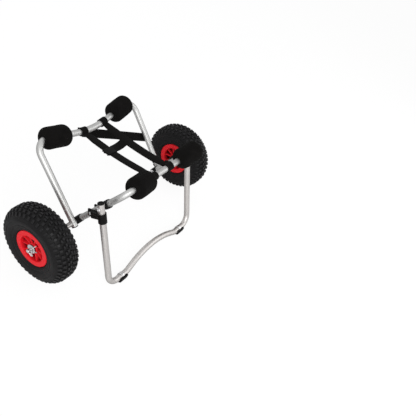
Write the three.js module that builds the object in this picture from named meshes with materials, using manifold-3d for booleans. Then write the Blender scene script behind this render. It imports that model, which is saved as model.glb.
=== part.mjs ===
// A folding kayak cart: two U-shaped aluminium frames that open into a V over a pair of knobbly
// wheels, foam pads and webbing that cradle the hull, and a U-shaped kickstand that props it up.
// X runs along the axle, Y away from the kickstand, Z up. Lengths are in millimetres.

import * as THREE from 'three';
import { mergeVertices } from 'three/addons/utils/BufferGeometryUtils.js';
import Module from 'manifold-3d';

const wasm = await Module();
wasm.setup();

// Clearances and facet counts that all pieces share.
const fitGap = 0.3;
const cutOverrun = 6;
const weldDistance = 1e-4;
const tubeSides = 12;
const tubeBoreSides = 8;
const smallSides = 8;
const boltSides = 8;
const bendSteps = 4;

// Frame tubes.
const tubeRadius = 10.5;
const tubeWall = 1.6;
const cornerRadius = 40;
const rearHalfWidth = 223.2;
const rearLegLength = 275.6;
const rearLeanDegrees = 36.8;
const rearFootTail = 13;
const frontStep = 27;
const frontLegLength = 271.4;
const frontLeanDegrees = 65.6;
const cradleDrop = 42.8;
const cradleRadius = 385;

// Foam pads round the top bars.
const padRadius = 35;
const padLength = 97;
const padStart = 28;
const padEdge = 20;
const padSides = 14;

// Wheels.
const wheelReach = 130;
const tyreRadius = 130;
const tyreHalfWidth = 45;
const treadHeight = 4.5;
const treadPitches = 16;
const boreSides = 12;
const rimFlangeRadius = 61.5;
const rimSeatRadius = 55.5;
const rimWellRadius = 50;
const rimBoreRadius = 44;
const rimFlangeInner = 31.5;
const rimFlangeOuter = 36;
const rimSeatInner = 20;
const rimWellHalf = 15;
const rimEdge = 1.8;
const rimSides = 20;
const hubRadius = 18;
const hubHalfLength = 31;
const webThickness = 4;
const ribCount = 10;
const ribThickness = 3;
const ribHubHalf = 28;
const ribRimHalf = 31;
const windowInnerShare = 0.52;
const windowOuterShare = 0.93;
const innerTubeWall = 2.5;

// Valve.
const valveRadius = 4;
const valveTipRadius = 26;
const valveBaseRadius = 54;
const valveBaseReach = 13;
const valveTipReach = 25;
const valveCapRadius = 5;
const valveCapLength = 9;

// Axle, bushes, sleeve, washer and spring clip.
const axleRadius = 6;
const axleHeadRadius = 11;
const axleHeadLength = 6;
const axleTail = 14;
const bushRadius = 10;
const bushFlangeRadius = 14;
const bushFlange = 2;
const bushLength = 24;
const sleeveRadius = 8.5;
const washerRadius = 15;
const washerThickness = 1.8;
const clipWireRadius = 1.5;
const clipReach = 5.5;
const clipLegLength = 26;
const clipTurnDegrees = 30;
const clipSteps = 16;
const wireSides = 6;

// End fitting at the foot of each front leg.
const eyeRadius = 12.5;
const eyeHalfWidth = 11.5;
const eyeShoulder = 20;
const spigotLength = 12;
const plugThickness = 2.5;
const plugSpigot = 4;

// Collars at the kickstand's pivots, bolts and screws.
const collarRadius = 14;
const collarLength = 20;
const pivotBossRadius = 10;
const boltRadius = 3;
const boltHeadRadius = 6;
const boltHeadHeight = 4;
const boltDomeShare = 0.7;
const nutSides = 6;
const legScrewAt = 128;

// Kickstand.
const pivotReach = 166;
const kickAngleDegrees = 62.4;
const kickTopTail = 16;
const kickCornerRadius = 38;
const archInset = 85.2;
const archRise = 55;
const archCrownShare = 0.8;
const archFootRadius = 50;

// Knuckles: a socket on each kickstand leg and a fork that straddles the front leg.
const knuckleTop = 17;
const knuckleBottom = 50;
const knuckleRadius = 14;
const forkAt = 94;
const earHalf = 12;
const earThickness = 6;
const forkWebDepth = 5;
const forkWebLength = 14;
const armThickness = 14;
const armTopInset = 1;
const armBottomInset = 2;

// Rubber feet under the kickstand.
const footInset = 58.2;
const footLength = 34;
const footThickness = 5;
const footFlatHalf = 9;
const footWrapDegrees = 45;
const footToeDegrees = 60;
const footClipThickness = 1.4;
const footClipWidth = 12;

// Webbing straps.
const strapWidth = 34;
const strapThickness = 2.4;
const loopWidth = 25;
const loopThickness = 2.6;
const rearLoopShares = { left: -0.184, right: 0.237 };
const frontLoopShares = { left: -0.265, right: 0.153 };
const strapSag = 9;
const strapSteps = 6;
const bracePlaceOnLeg = 128;
const braceTail = 16;
const shortStrapShares = { onRight: 0.38, onLeft: 0.4 };
const adjusterLength = 30;
const adjusterWall = 2;
const adjusterHeight = 6.5;
const adjusterRib = 2.5;

// Sizes and places that follow.
const frontHalfWidth = rearHalfWidth - frontStep;
const wheelPlane = rearHalfWidth + wheelReach;
const groundDrop = tyreRadius;
const footDrop = tubeRadius + fitGap + footThickness;
const radians = THREE.MathUtils.degToRad;
const rearLean = radians(rearLeanDegrees);
const frontLean = radians(frontLeanDegrees);
const kickAngle = radians(kickAngleDegrees);
const pivotHeight = pivotReach * Math.sin(frontLean);
const kickLength = (pivotHeight + groundDrop - footDrop) / Math.sin(kickAngle);
const footAt = rearHalfWidth - footInset;
const archOuter = rearHalfWidth - archInset;
const adjusterWidth = strapWidth + 2 * (2 * fitGap + adjusterWall);
const rearLoopPlaces = {
  left: rearHalfWidth * rearLoopShares.left,
  right: rearHalfWidth * rearLoopShares.right,
};
const frontLoopPlaces = {
  left: frontHalfWidth * frontLoopShares.left,
  right: frontHalfWidth * frontLoopShares.right,
};

const aluminium = new THREE.MeshStandardMaterial({ color: 0xbfc1c0, roughness: 0.38, metalness: 0.9 });
const steel = new THREE.MeshStandardMaterial({ color: 0xb9bbbd, roughness: 0.3, metalness: 1 });
const foam = new THREE.MeshStandardMaterial({ color: 0x1b1b1c, roughness: 0.95, metalness: 0 });
const rubber = new THREE.MeshStandardMaterial({ color: 0x232224, roughness: 0.85, metalness: 0 });
const redPlastic = new THREE.MeshStandardMaterial({ color: 0xd92a35, roughness: 0.4, metalness: 0 });
const blackPlastic = new THREE.MeshStandardMaterial({ color: 0x151516, roughness: 0.6, metalness: 0 });
const webbing = new THREE.MeshStandardMaterial({ color: 0x19181a, roughness: 0.9, metalness: 0 });

// Boolean helpers. Only position is kept, so that shared corners can be welded.
function toSolid(geometry) {
  const bare = geometry.clone();
  bare.deleteAttribute('normal');
  bare.deleteAttribute('uv');
  const welded = mergeVertices(bare, weldDistance);
  return new wasm.Manifold(new wasm.Mesh({
    numProp: 3,
    vertProperties: new Float32Array(welded.attributes.position.array),
    triVerts: new Uint32Array(welded.index.array),
  }));
}

function toGeometry(solid) {
  const mesh = solid.getMesh();
  const geometry = new THREE.BufferGeometry();
  geometry.setAttribute('position', new THREE.BufferAttribute(new Float32Array(mesh.vertProperties), 3));
  geometry.setIndex(new THREE.BufferAttribute(new Uint32Array(mesh.triVerts), 1));
  geometry.computeVertexNormals();
  return geometry;
}

function join(first, ...others) {
  let solid = toSolid(first);
  for (const other of others) solid = solid.add(toSolid(other));
  return toGeometry(solid);
}

function cut(first, ...tools) {
  let solid = toSolid(first);
  for (const tool of tools) solid = solid.subtract(toSolid(tool));
  return toGeometry(solid);
}

function piece(name, geometry, material) {
  const mesh = new THREE.Mesh(geometry, material);
  mesh.name = name;
  return mesh;
}

// Radius of a polygon whose flats, not its corners, lie at the given radius.
const clearRadius = (radius, sides) => (radius + fitGap) / Math.cos(Math.PI / sides);

// A round rod along X, from x0 to x1, through the point (y, z).
function rodAlongX(radius, x0, x1, y, z, sides = smallSides) {
  const rod = new THREE.CylinderGeometry(radius, radius, Math.abs(x1 - x0), sides);
  rod.rotateZ(Math.PI / 2);
  return rod.translate((x0 + x1) / 2, y, z);
}

// A round rod along Z, from z0 to z1, through the point (x, y).
function rodAlongZ(radius, z0, z1, x, y, sides = smallSides) {
  const rod = new THREE.CylinderGeometry(radius, radius, Math.abs(z1 - z0), sides);
  rod.rotateX(Math.PI / 2);
  return rod.translate(x, y, (z0 + z1) / 2);
}

// A round rod along Y, from y0 to y1, through the point (x, z).
function rodAlongY(radius, y0, y1, x, z, sides = smallSides) {
  const rod = new THREE.CylinderGeometry(radius, radius, Math.abs(y1 - y0), sides);
  return rod.translate(x, (y0 + y1) / 2, z);
}

// A box given by its two ends along each axis.
function boxFrom(x0, x1, y0, y1, z0, z1) {
  const box = new THREE.BoxGeometry(Math.abs(x1 - x0), Math.abs(y1 - y0), Math.abs(z1 - z0));
  return box.translate((x0 + x1) / 2, (y0 + y1) / 2, (z0 + z1) / 2);
}

// A closed profile of [radius, place] pairs turned about the X axis.
function turned(profile, sides) {
  const points = profile.map(([radius, place]) => new THREE.Vector2(radius, place));
  points.push(points[0].clone());
  const lathe = new THREE.LatheGeometry(points, sides);
  return lathe.rotateZ(-Math.PI / 2);
}

// A ring round the X axis with a square section.
function ringAlongX(outer, inner, x0, x1, sides = smallSides) {
  return turned([[inner, x0], [outer, x0], [outer, x1], [inner, x1]], sides);
}

// A flat route through virtual corners in the XZ plane, each rounded by its own radius. It steps
// once along each straight and a few times round each bend, so the facets go to the bends.
class BentRoute extends THREE.Curve {
  constructor(corners, stepsPerBend) {
    super();
    this.points = [];
    this.headings = [];
    const places = corners.map(([x, z]) => new THREE.Vector3(x, 0, z));
    const last = places.length - 1;
    const heading = (i) => places[i + 1].clone().sub(places[i]).normalize();
    this.addStation(places[0], heading(0));
    for (let i = 1; i < last; i += 1) {
      const incoming = heading(i - 1);
      const outgoing = heading(i);
      const turn = incoming.angleTo(outgoing);
      const radius = corners[i][2];
      const setback = radius * Math.tan(turn / 2);
      const start = places[i].clone().addScaledVector(incoming, -setback);
      const axis = incoming.clone().cross(outgoing).normalize();
      const toCentre = axis.clone().cross(incoming);
      const centre = start.clone().addScaledVector(toCentre, radius);
      for (let step = 0; step <= stepsPerBend; step += 1) {
        const angle = turn * step / stepsPerBend;
        const spoke = toCentre.clone().negate().applyAxisAngle(axis, angle);
        const place = centre.clone().addScaledVector(spoke, radius);
        this.addStation(place, incoming.clone().applyAxisAngle(axis, angle));
      }
    }
    this.addStation(places[last], heading(last - 1));
  }

  addStation(place, heading) {
    this.points.push(place.clone());
    this.headings.push(heading.clone());
  }

  get steps() {
    return this.points.length - 1;
  }

  getPointAt(share, target = new THREE.Vector3()) {
    return target.copy(this.points[Math.round(share * this.steps)]);
  }

  getTangentAt(share, target = new THREE.Vector3()) {
    return target.copy(this.headings[Math.round(share * this.steps)]);
  }
}

function sweptTube(route, outer, inner = 0) {
  const section = new THREE.Shape();
  section.absarc(0, 0, outer, 0, 2 * Math.PI);
  if (inner > 0) {
    const turnStep = 2 * Math.PI / tubeBoreSides;
    const corners = Array.from({ length: tubeBoreSides }, (_, i) => (
      new THREE.Vector2(inner * Math.cos(i * turnStep), -inner * Math.sin(i * turnStep))
    ));
    section.holes.push(new THREE.Path(corners));
  }
  return new THREE.ExtrudeGeometry(section, {
    steps: route.steps,
    curveSegments: tubeSides / 2,
    extrudePath: route,
  });
}

// Frame tubes. A frame is drawn standing up: its feet at z = 0 on the axle, its top bar above.
function frameRoute(halfWidth, legLength, footPlace) {
  return new BentRoute([
    [-halfWidth, footPlace],
    [-halfWidth, legLength, cornerRadius],
    [0, legLength - cradleDrop, cradleRadius],
    [halfWidth, legLength, cornerRadius],
    [halfWidth, footPlace],
  ], bendSteps);
}

const tubeBore = tubeRadius - tubeWall;
const rearRoute = frameRoute(rearHalfWidth, rearLegLength, -rearFootTail);
const frontTubeStart = eyeShoulder + fitGap;
const frontRoute = frameRoute(frontHalfWidth, frontLegLength, frontTubeStart);

// Rear tube, drilled for both axles and for the screw of the brace strap.
function makeRearTube() {
  const tube = sweptTube(rearRoute, tubeRadius, tubeBore);
  const reach = rearHalfWidth + tubeRadius + cutOverrun;
  const screwHole = rodAlongY(clearRadius(boltRadius, boltSides), 0, tubeRadius + cutOverrun,
    rearHalfWidth, bracePlaceOnLeg, boltSides);
  return cut(tube, rodAlongX(clearRadius(axleRadius, smallSides), -reach, reach, 0, 0), screwHole);
}

// Front tube with its bolt holes through each leg.
function makeFrontTube() {
  const tube = sweptTube(frontRoute, tubeRadius, tubeBore);
  const reach = frontHalfWidth + tubeRadius + cutOverrun;
  const holes = [forkAt, legScrewAt, pivotReach].map((place) => (
    rodAlongX(clearRadius(boltRadius, boltSides), -reach, reach, 0, place, boltSides)
  ));
  return cut(tube, ...holes);
}

// A black plug that closes a tube end: a disc with a spigot inside the tube. z is the tube's end
// and inward tells which way the tube runs.
function makePlug(x, z, inward) {
  const face = z - inward * fitGap;
  const disc = rodAlongZ(tubeRadius, face - inward * plugThickness, face, x, 0, tubeSides);
  const spigotRadius = tubeBore * Math.cos(Math.PI / tubeBoreSides) - fitGap;
  const spigot = rodAlongZ(spigotRadius, z - inward * (fitGap + weldDistance), z + inward * plugSpigot, x, 0);
  return join(disc, spigot);
}

// Foam pad: a fat roll with rounded ends, bored along the tube that it is pushed onto.
function makePad(halfWidth, legLength, route, side) {
  const share = 1 - Math.SQRT1_2;
  const profile = [
    [0, 0],
    [padRadius - padEdge, 0],
    [padRadius - padEdge * share, padEdge * share],
    [padRadius, padEdge],
    [padRadius, padLength - padEdge],
    [padRadius - padEdge * share, padLength - padEdge * share],
    [padRadius - padEdge, padLength],
    [0, padLength],
  ].map(([radius, place]) => new THREE.Vector2(radius, place));
  const slope = Math.atan2(cradleDrop, halfWidth);
  const roll = new THREE.LatheGeometry(profile, padSides);
  roll.translate(0, padStart, 0);
  roll.rotateZ(Math.PI / 2);
  roll.rotateY(-slope);
  if (side < 0) roll.rotateZ(Math.PI);
  roll.translate(side * halfWidth, 0, legLength);
  return cut(roll, sweptTube(route, tubeRadius + fitGap));
}

// Eye fitting at a front foot: it turns on the axle and plugs into the tube.
function makeEye(side) {
  const inner = side * (frontHalfWidth - eyeHalfWidth);
  const outer = side * (rearHalfWidth - tubeRadius - fitGap);
  const middle = side * frontHalfWidth;
  const barrel = rodAlongX(eyeRadius, inner, outer, 0, 0, tubeSides);
  const neck = rodAlongZ(tubeRadius, 0, eyeShoulder, middle, 0, tubeSides);
  const spigotRadius = tubeBore * Math.cos(Math.PI / tubeBoreSides) - fitGap;
  const spigot = rodAlongZ(spigotRadius, 0, eyeShoulder + spigotLength, middle, 0);
  const reach = rearHalfWidth;
  const bore = rodAlongX(clearRadius(axleRadius, smallSides), 0, side * reach, 0, 0);
  return cut(join(barrel, neck, spigot), bore);
}

// Collar round a front leg, with the boss that the kickstand leg turns on.
function makeCollar(side) {
  const middle = side * frontHalfWidth;
  const [start, end] = [pivotReach - collarLength / 2, pivotReach + collarLength / 2];
  const band = rodAlongZ(collarRadius, start, end, middle, 0, tubeSides);
  const bossFace = side * (rearHalfWidth - tubeRadius - fitGap);
  const boss = rodAlongX(pivotBossRadius, middle, bossFace, 0, pivotReach, tubeSides);
  const bore = rodAlongZ(clearRadius(tubeRadius, tubeSides), start - cutOverrun, end + cutOverrun,
    middle, 0, tubeSides);
  const back = side * (frontHalfWidth - collarRadius - cutOverrun);
  const hole = rodAlongX(clearRadius(boltRadius, boltSides), back, side * rearHalfWidth,
    0, pivotReach, boltSides);
  return cut(join(band, boss), bore, hole);
}

// A screw along Z: its domed head seats on headFace and its shank runs down to tip.
function makeScrew(headFace, tip) {
  const seat = headFace + fitGap;
  const head = new THREE.CylinderGeometry(boltHeadRadius * boltDomeShare, boltHeadRadius,
    boltHeadHeight, boltSides);
  head.rotateX(Math.PI / 2).translate(0, 0, seat + boltHeadHeight / 2);
  return join(rodAlongZ(boltRadius, tip, seat + boltHeadHeight / 2, 0, 0, boltSides), head);
}

// A bolt along X with its head outboard and a nut inboard, given from axis place to place.
function makeBolt(side, headFace, nutFace, place) {
  const end = nutFace - fitGap;
  const nut = rodAlongZ(boltHeadRadius, end - boltHeadHeight, end, 0, 0, nutSides);
  const bolt = join(makeScrew(headFace, end - boltHeadHeight / 2), nut);
  return bolt.rotateY(side * Math.PI / 2).translate(0, 0, place);
}

// Kickstand tube, drawn hanging from its pivots: z grows down the legs.
const archSlope = Math.atan2(archRise, archOuter);
const archRadius = archCrownShare * Math.hypot(archRise, archOuter) / Math.tan(archSlope);
const kickRoute = new BentRoute([
  [-rearHalfWidth, -kickTopTail],
  [-rearHalfWidth, kickLength, kickCornerRadius],
  [-archOuter, kickLength, archFootRadius],
  [0, kickLength - archRise, archRadius],
  [archOuter, kickLength, archFootRadius],
  [rearHalfWidth, kickLength, kickCornerRadius],
  [rearHalfWidth, -kickTopTail],
], bendSteps - 1);

function makeKickTube() {
  const reach = rearHalfWidth + tubeRadius + cutOverrun;
  return cut(sweptTube(kickRoute, tubeRadius, tubeBore),
    rodAlongX(clearRadius(boltRadius, boltSides), -reach, reach, 0, 0, boltSides));
}

// Where the fork holds the front leg, seen from the pivot. The front leg runs at wedge to the
// kickstand leg, and normal points from it to the kickstand leg.
const wedge = Math.PI - (kickAngle + frontLean);
const forkReach = pivotReach - forkAt;
const forkPlace = { y: -forkReach * Math.sin(wedge), z: forkReach * Math.cos(wedge) };
const forkNormal = { y: Math.cos(wedge), z: Math.sin(wedge) };
const earFace = frontHalfWidth + tubeRadius + fitGap;
const earBack = frontHalfWidth - tubeRadius - fitGap;

// Knuckle: a socket round the kickstand leg and a thick arm to a fork of two square ears. The
// ears' web lies on the outer side of the front leg, so the leg leaves the fork inward.
function makeKnuckle(side) {
  const middle = side * rearHalfWidth;
  const socket = rodAlongZ(knuckleRadius, knuckleTop, knuckleBottom, middle, 0, tubeSides);
  const [earLeft, earRight] = [forkPlace.y - earHalf, forkPlace.y + earHalf];
  const [earTop, earEnd] = [forkPlace.z - earHalf, forkPlace.z + earHalf];
  const nearEar = boxFrom(side * earFace, side * (earFace + earThickness), earLeft, earRight, earTop, earEnd);
  const farEar = boxFrom(side * (earBack - earThickness), side * earBack, earLeft, earRight, earTop, earEnd);
  const webOffset = tubeRadius + 2 * fitGap + forkWebDepth / 2;
  const web = new THREE.BoxGeometry(earFace - earBack + earThickness, forkWebDepth, forkWebLength);
  web.rotateX(wedge);
  web.translate(side * frontHalfWidth, forkPlace.y + webOffset * forkNormal.y,
    forkPlace.z + webOffset * forkNormal.z);
  const arm = extrudedAlongX(new THREE.Shape([
    [earRight - earThickness, earTop],
    [-knuckleRadius / 2, knuckleTop + knuckleRadius],
    [-knuckleRadius / 2, knuckleBottom - armBottomInset],
    [earRight - earThickness, earEnd - armTopInset],
  ].map(([y, z]) => new THREE.Vector2(y, z))), armThickness, side * (earFace + armThickness / 2));
  const bore = rodAlongZ(clearRadius(tubeRadius, tubeSides), knuckleTop - cutOverrun,
    knuckleBottom + cutOverrun, middle, 0, tubeSides);
  const hole = rodAlongX(clearRadius(boltRadius, boltSides), side * frontHalfWidth,
    side * (earFace + earThickness + cutOverrun), forkPlace.y, forkPlace.z, boltSides);
  return cut(join(socket, nearEar, farEar, web, arm), bore, hole);
}

// Plunger in the near ear, pulled to free the fork from the hole in the front leg.
function makePlunger(side) {
  const pin = makeScrew(earFace + earThickness, earFace + fitGap);
  return pin.rotateY(side * Math.PI / 2).translate(0, forkPlace.y, forkPlace.z);
}

// Rubber foot: a saddle under the base bar and up its outer side, with a flat sole. It is drawn
// level, in the YZ plane, and ends at the toe on its inner side.
const footWrap = radians(footWrapDegrees);
const footToe = radians(footToeDegrees);

function footOutline() {
  const side = tubeRadius + fitGap + footThickness;
  const outline = new THREE.Shape();
  outline.moveTo(-side * Math.cos(footWrap), side * Math.sin(footWrap));
  outline.lineTo(-side, side * Math.tan(footWrap / 2));
  outline.lineTo(-side, -footFlatHalf);
  outline.lineTo(-footFlatHalf, -side);
  outline.lineTo(side / Math.tan(footToe), -side);
  outline.absarc(0, 0, clearRadius(tubeRadius, tubeSides), -footToe, footWrap - Math.PI - 2 * footWrap, true);
  return outline;
}

function extrudedAlongX(outline, length, x) {
  const solid = new THREE.ExtrudeGeometry(outline, {
    depth: length,
    bevelEnabled: false,
    curveSegments: smallSides / 2,
  });
  solid.applyMatrix4(new THREE.Matrix4().makeBasis(
    new THREE.Vector3(0, 1, 0), new THREE.Vector3(0, 0, 1), new THREE.Vector3(1, 0, 0)));
  return solid.translate(x - length / 2, 0, 0);
}

// Steel band that holds the foot from above, between the foot's two ends.
function footClipOutline() {
  const inner = clearRadius(tubeRadius, tubeSides);
  const outer = inner + footClipThickness;
  const clear = Math.asin(fitGap / inner);
  const [start, end] = [clear - footToe, Math.PI - footWrap - clear];
  const outline = new THREE.Shape();
  outline.absarc(0, 0, outer, start, end);
  outline.absarc(0, 0, inner, end, start, true);
  return outline;
}

// Tyre. The outline is given over half the section: radius between the bead and the tread base,
// width as a share of the half width, then how far a lug raises that place outward and sideways.
// Crown blocks and shoulder lugs take turns, and the two sides are staggered by half a pitch.
const tyreOutlineShares = [
  [0.14, 0.86, 0, 0],
  [0.44, 1, 0, 0],
  [0.72, 0.86, 0.5, 0.7],
  [0.88, 0.68, 0.8, 0.4],
];
const crownShare = 0.28;
const lugRampShare = 0.12;

function makeTyreBody() {
  const bead = rimSeatRadius + fitGap;
  const base = tyreRadius - treadHeight;
  const edge = rimFlangeInner - fitGap;
  const lip = rimFlangeRadius + 2 * fitGap;
  const half = [[bead, edge, 0, 0], [lip, edge, 0, 0]];
  for (const [radiusShare, widthShare, lugOut, lugAside] of tyreOutlineShares) {
    half.push([bead + (base - bead) * radiusShare, tyreHalfWidth * widthShare, lugOut, lugAside]);
  }
  const crown = half.length;
  half.push([base, tyreHalfWidth * crownShare, 1, 0]);
  const stationShares = [0, lugRampShare, 1 / 2, 1 / 2 + lugRampShare];
  const bottomShare = (1 + lugRampShare) / 2;
  const stations = treadPitches * stationShares.length;
  const ring = 2 * half.length;
  const positions = [];
  for (let station = 0; station < stations; station += 1) {
    const phase = station % stationShares.length;
    const pitch = Math.floor(station / stationShares.length);
    const angle = 2 * Math.PI * (pitch + stationShares[phase] - bottomShare) / treadPitches;
    const crownUp = phase === 1 || phase === 2;
    const addPoint = ([radius, place, lugOut, lugAside], i, flip) => {
      const up = (i === crown) === (crownUp === (flip < 0));
      const raised = up ? treadHeight : 0;
      const r = radius + lugOut * raised;
      positions.push(flip * (place + lugAside * raised), r * Math.sin(angle), -r * Math.cos(angle));
    };
    half.forEach((point, i) => addPoint(point, i, -1));
    for (let i = half.length - 1; i >= 0; i -= 1) addPoint(half[i], i, 1);
  }
  const indices = [];
  for (let station = 0; station < stations; station += 1) {
    const next = (station + 1) % stations;
    for (let i = 0; i < ring; i += 1) {
      const j = (i + 1) % ring;
      const [a, b, c, d] = [station * ring + i, station * ring + j, next * ring + j, next * ring + i];
      indices.push(a, c, b, a, d, c);
    }
  }
  const geometry = new THREE.BufferGeometry();
  geometry.setAttribute('position', new THREE.Float32BufferAttribute(positions, 3));
  geometry.setIndex(indices);
  return geometry;
}

// The air space inside, open at the bead, which leaves the tyre's walls.
const airOutlineShares = [
  [-0.1, 0.5],
  [0.06, 0.56],
  [0.3, 0.84],
  [0.46, 0.88],
  [0.66, 0.8],
  [0.84, 0.55],
  [0.91, 0.25],
];

function makeTyre(side) {
  const bead = rimSeatRadius + fitGap;
  const base = tyreRadius - treadHeight;
  const half = airOutlineShares.map(([radiusShare, widthShare]) => (
    [bead + (base - bead) * radiusShare, tyreHalfWidth * widthShare]
  ));
  const mirrored = half.map(([radius, place]) => [radius, -place]);
  const air = turned([...mirrored, ...half.slice().reverse()], boreSides);
  return cut(makeTyreBody(), air).translate(side * wheelPlane, 0, 0);
}

// Inner tube, blown up against the tyre, with the hole that its valve goes through.
const innerTubeShares = [
  [0, 0.5],
  [0.3, 0.84],
  [0.66, 0.8],
  [0.91, 0.25],
];

function innerTubeRing(inset) {
  const floor = clearRadius(rimSeatRadius, boreSides);
  const bead = rimSeatRadius + fitGap;
  const base = tyreRadius - treadHeight;
  const top = innerTubeShares.length - 1;
  const half = innerTubeShares.map(([radiusShare, widthShare], i) => {
    const radius = i === 0 ? floor + inset : bead + (base - bead) * radiusShare - inset * i / top;
    return [radius, tyreHalfWidth * widthShare - inset];
  });
  const mirrored = half.map(([radius, place]) => [radius, -place]);
  return turned([...mirrored, ...half.slice().reverse()], boreSides);
}

function makeInnerTube(side) {
  const valveHole = rodAlongZ(valveRadius, 0, (rimSeatRadius + tyreRadius) / 2, 0, 0);
  return cut(innerTubeRing(2 * fitGap), innerTubeRing(innerTubeWall), valveHole)
    .translate(side * wheelPlane, 0, 0);
}

// Rim: barrel with flanges, hub, thin pierced web and ribs that reach out to both sides.
function makeRim(side) {
  const barrel = turned([
    [rimBoreRadius, -rimFlangeOuter + rimEdge],
    [rimBoreRadius + rimEdge, -rimFlangeOuter],
    [rimFlangeRadius - rimEdge, -rimFlangeOuter],
    [rimFlangeRadius, -rimFlangeInner],
    [rimSeatRadius, -rimFlangeInner],
    [rimSeatRadius, -rimSeatInner],
    [rimWellRadius, -rimWellHalf],
    [rimWellRadius, rimWellHalf],
    [rimSeatRadius, rimSeatInner],
    [rimSeatRadius, rimFlangeInner],
    [rimFlangeRadius, rimFlangeInner],
    [rimFlangeRadius - rimEdge, rimFlangeOuter],
    [rimBoreRadius + rimEdge, rimFlangeOuter],
    [rimBoreRadius, rimFlangeOuter - rimEdge],
  ], rimSides);
  const hubBore = clearRadius(bushRadius, smallSides);
  const hub = ringAlongX(hubRadius, hubBore, -hubHalfLength, hubHalfLength, rimSides);
  const web = new THREE.Shape();
  web.absarc(0, 0, rimBoreRadius + rimEdge, 0, 2 * Math.PI);
  const centre = new THREE.Path();
  centre.absarc(0, 0, hubRadius - rimEdge, 0, 2 * Math.PI, true);
  web.holes.push(centre);
  const pitch = 2 * Math.PI / ribCount;
  for (let rib = 0; rib < ribCount; rib += 1) {
    const middle = pitch * (rib + 0.5);
    const inner = rimBoreRadius * windowInnerShare;
    const outer = rimBoreRadius * windowOuterShare;
    const spread = pitch / 2 - ribThickness / outer;
    web.holes.push(new THREE.Path([
      new THREE.Vector2(inner * Math.cos(middle), inner * Math.sin(middle)),
      new THREE.Vector2(outer * Math.cos(middle - spread), outer * Math.sin(middle - spread)),
      new THREE.Vector2(outer * Math.cos(middle + spread), outer * Math.sin(middle + spread)),
    ]));
  }
  const disc = new THREE.ExtrudeGeometry(web, {
    depth: webThickness,
    bevelEnabled: false,
    curveSegments: rimSides / 2,
  });
  disc.translate(0, 0, -webThickness / 2);
  disc.rotateY(Math.PI / 2);
  const parts = [hub, disc];
  for (let rib = 0; rib < ribCount; rib += 1) {
    const blade = new THREE.Shape([
      [hubRadius - rimEdge, -ribHubHalf],
      [rimBoreRadius + rimEdge, -ribRimHalf],
      [rimBoreRadius + rimEdge, ribRimHalf],
      [hubRadius - rimEdge, ribHubHalf],
    ].map(([r, place]) => new THREE.Vector2(r, place)));
    const plate = new THREE.ExtrudeGeometry(blade, { depth: ribThickness, bevelEnabled: false });
    plate.translate(0, 0, -ribThickness / 2);
    plate.applyMatrix4(new THREE.Matrix4().makeBasis(
      new THREE.Vector3(0, 0, 1), new THREE.Vector3(1, 0, 0), new THREE.Vector3(0, 1, 0)));
    plate.rotateX(pitch * rib);
    parts.push(plate);
  }
  const whole = join(barrel, ...parts);
  const cleared = cut(whole, makeValveRod(clearRadius(valveRadius, smallSides), cutOverrun, fitGap));
  return outboard(cleared, side).translate(side * wheelPlane, 0, 0);
}

// Turns a piece drawn for the right side round, so that its +x side faces outboard on the left.
function outboard(geometry, side) {
  return side < 0 ? geometry.rotateY(Math.PI) : geometry;
}

// The valve leans outboard as it comes in from the rim's well towards the hub.
function valveFrame() {
  const angle = 2 * Math.PI / ribCount / 2 + Math.PI;
  const base = new THREE.Vector3(valveBaseReach, 0, valveBaseRadius);
  const tip = new THREE.Vector3(valveTipReach, 0, valveTipRadius);
  return { base, tip, angle };
}

function rodBetween(from, to, radius, sides = smallSides) {
  const span = to.clone().sub(from);
  const rod = new THREE.CylinderGeometry(radius, radius, span.length(), sides);
  const upright = new THREE.Vector3(0, 1, 0);
  const turn = new THREE.Quaternion().setFromUnitVectors(upright, span.clone().normalize());
  rod.applyQuaternion(turn);
  const middle = from.clone().add(to).multiplyScalar(1 / 2);
  return rod.translate(middle.x, middle.y, middle.z);
}

function makeValveRod(radius, before, beyond) {
  const { base, tip, angle } = valveFrame();
  const heading = tip.clone().sub(base).normalize();
  const from = base.clone().addScaledVector(heading, -before);
  const to = tip.clone().addScaledVector(heading, beyond);
  return rodBetween(from, to, radius).rotateX(angle);
}

function makeValve(side) {
  const { base, tip, angle } = valveFrame();
  const heading = tip.clone().sub(base).normalize();
  const stem = makeValveRod(valveRadius, 0, 0);
  const capStart = tip.clone().addScaledVector(heading, -valveCapLength);
  const cap = rodBetween(capStart, tip, valveCapRadius).rotateX(angle);
  return outboard(join(stem, cap), side).translate(side * wheelPlane, 0, 0);
}

function makeBush(side, face) {
  const outerEnd = hubHalfLength + fitGap + bushFlange;
  const profile = [
    [clearRadius(axleRadius, smallSides), hubHalfLength - bushLength],
    [bushRadius, hubHalfLength - bushLength],
    [bushRadius, hubHalfLength + fitGap],
    [bushFlangeRadius, hubHalfLength + fitGap],
    [bushFlangeRadius, outerEnd],
    [clearRadius(axleRadius, smallSides), outerEnd],
  ];
  const bush = turned(profile, smallSides);
  return outboard(bush, side * face).translate(side * wheelPlane, 0, 0);
}

// Axle pin: its head bears on the eye fitting, and its tip holds the washer and spring clip.
const hubEnd = hubHalfLength + fitGap + bushFlange;
const washerEnd = wheelPlane + hubEnd + fitGap + washerThickness;
const clipPlace = washerEnd + clipReach;

function makeAxle(side) {
  const headFace = frontHalfWidth - eyeHalfWidth - fitGap;
  const head = rodAlongX(axleHeadRadius, side * (headFace - axleHeadLength), side * headFace, 0, 0, nutSides);
  const tip = side * (washerEnd + axleTail);
  const pin = rodAlongX(axleRadius, side * (headFace - axleHeadLength / 2), tip, 0, 0);
  const hole = rodAlongZ(clearRadius(clipWireRadius, smallSides), -axleHeadRadius, axleHeadRadius,
    side * clipPlace, 0);
  hole.rotateX(radians(clipTurnDegrees));
  return cut(join(head, pin), hole);
}

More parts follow.
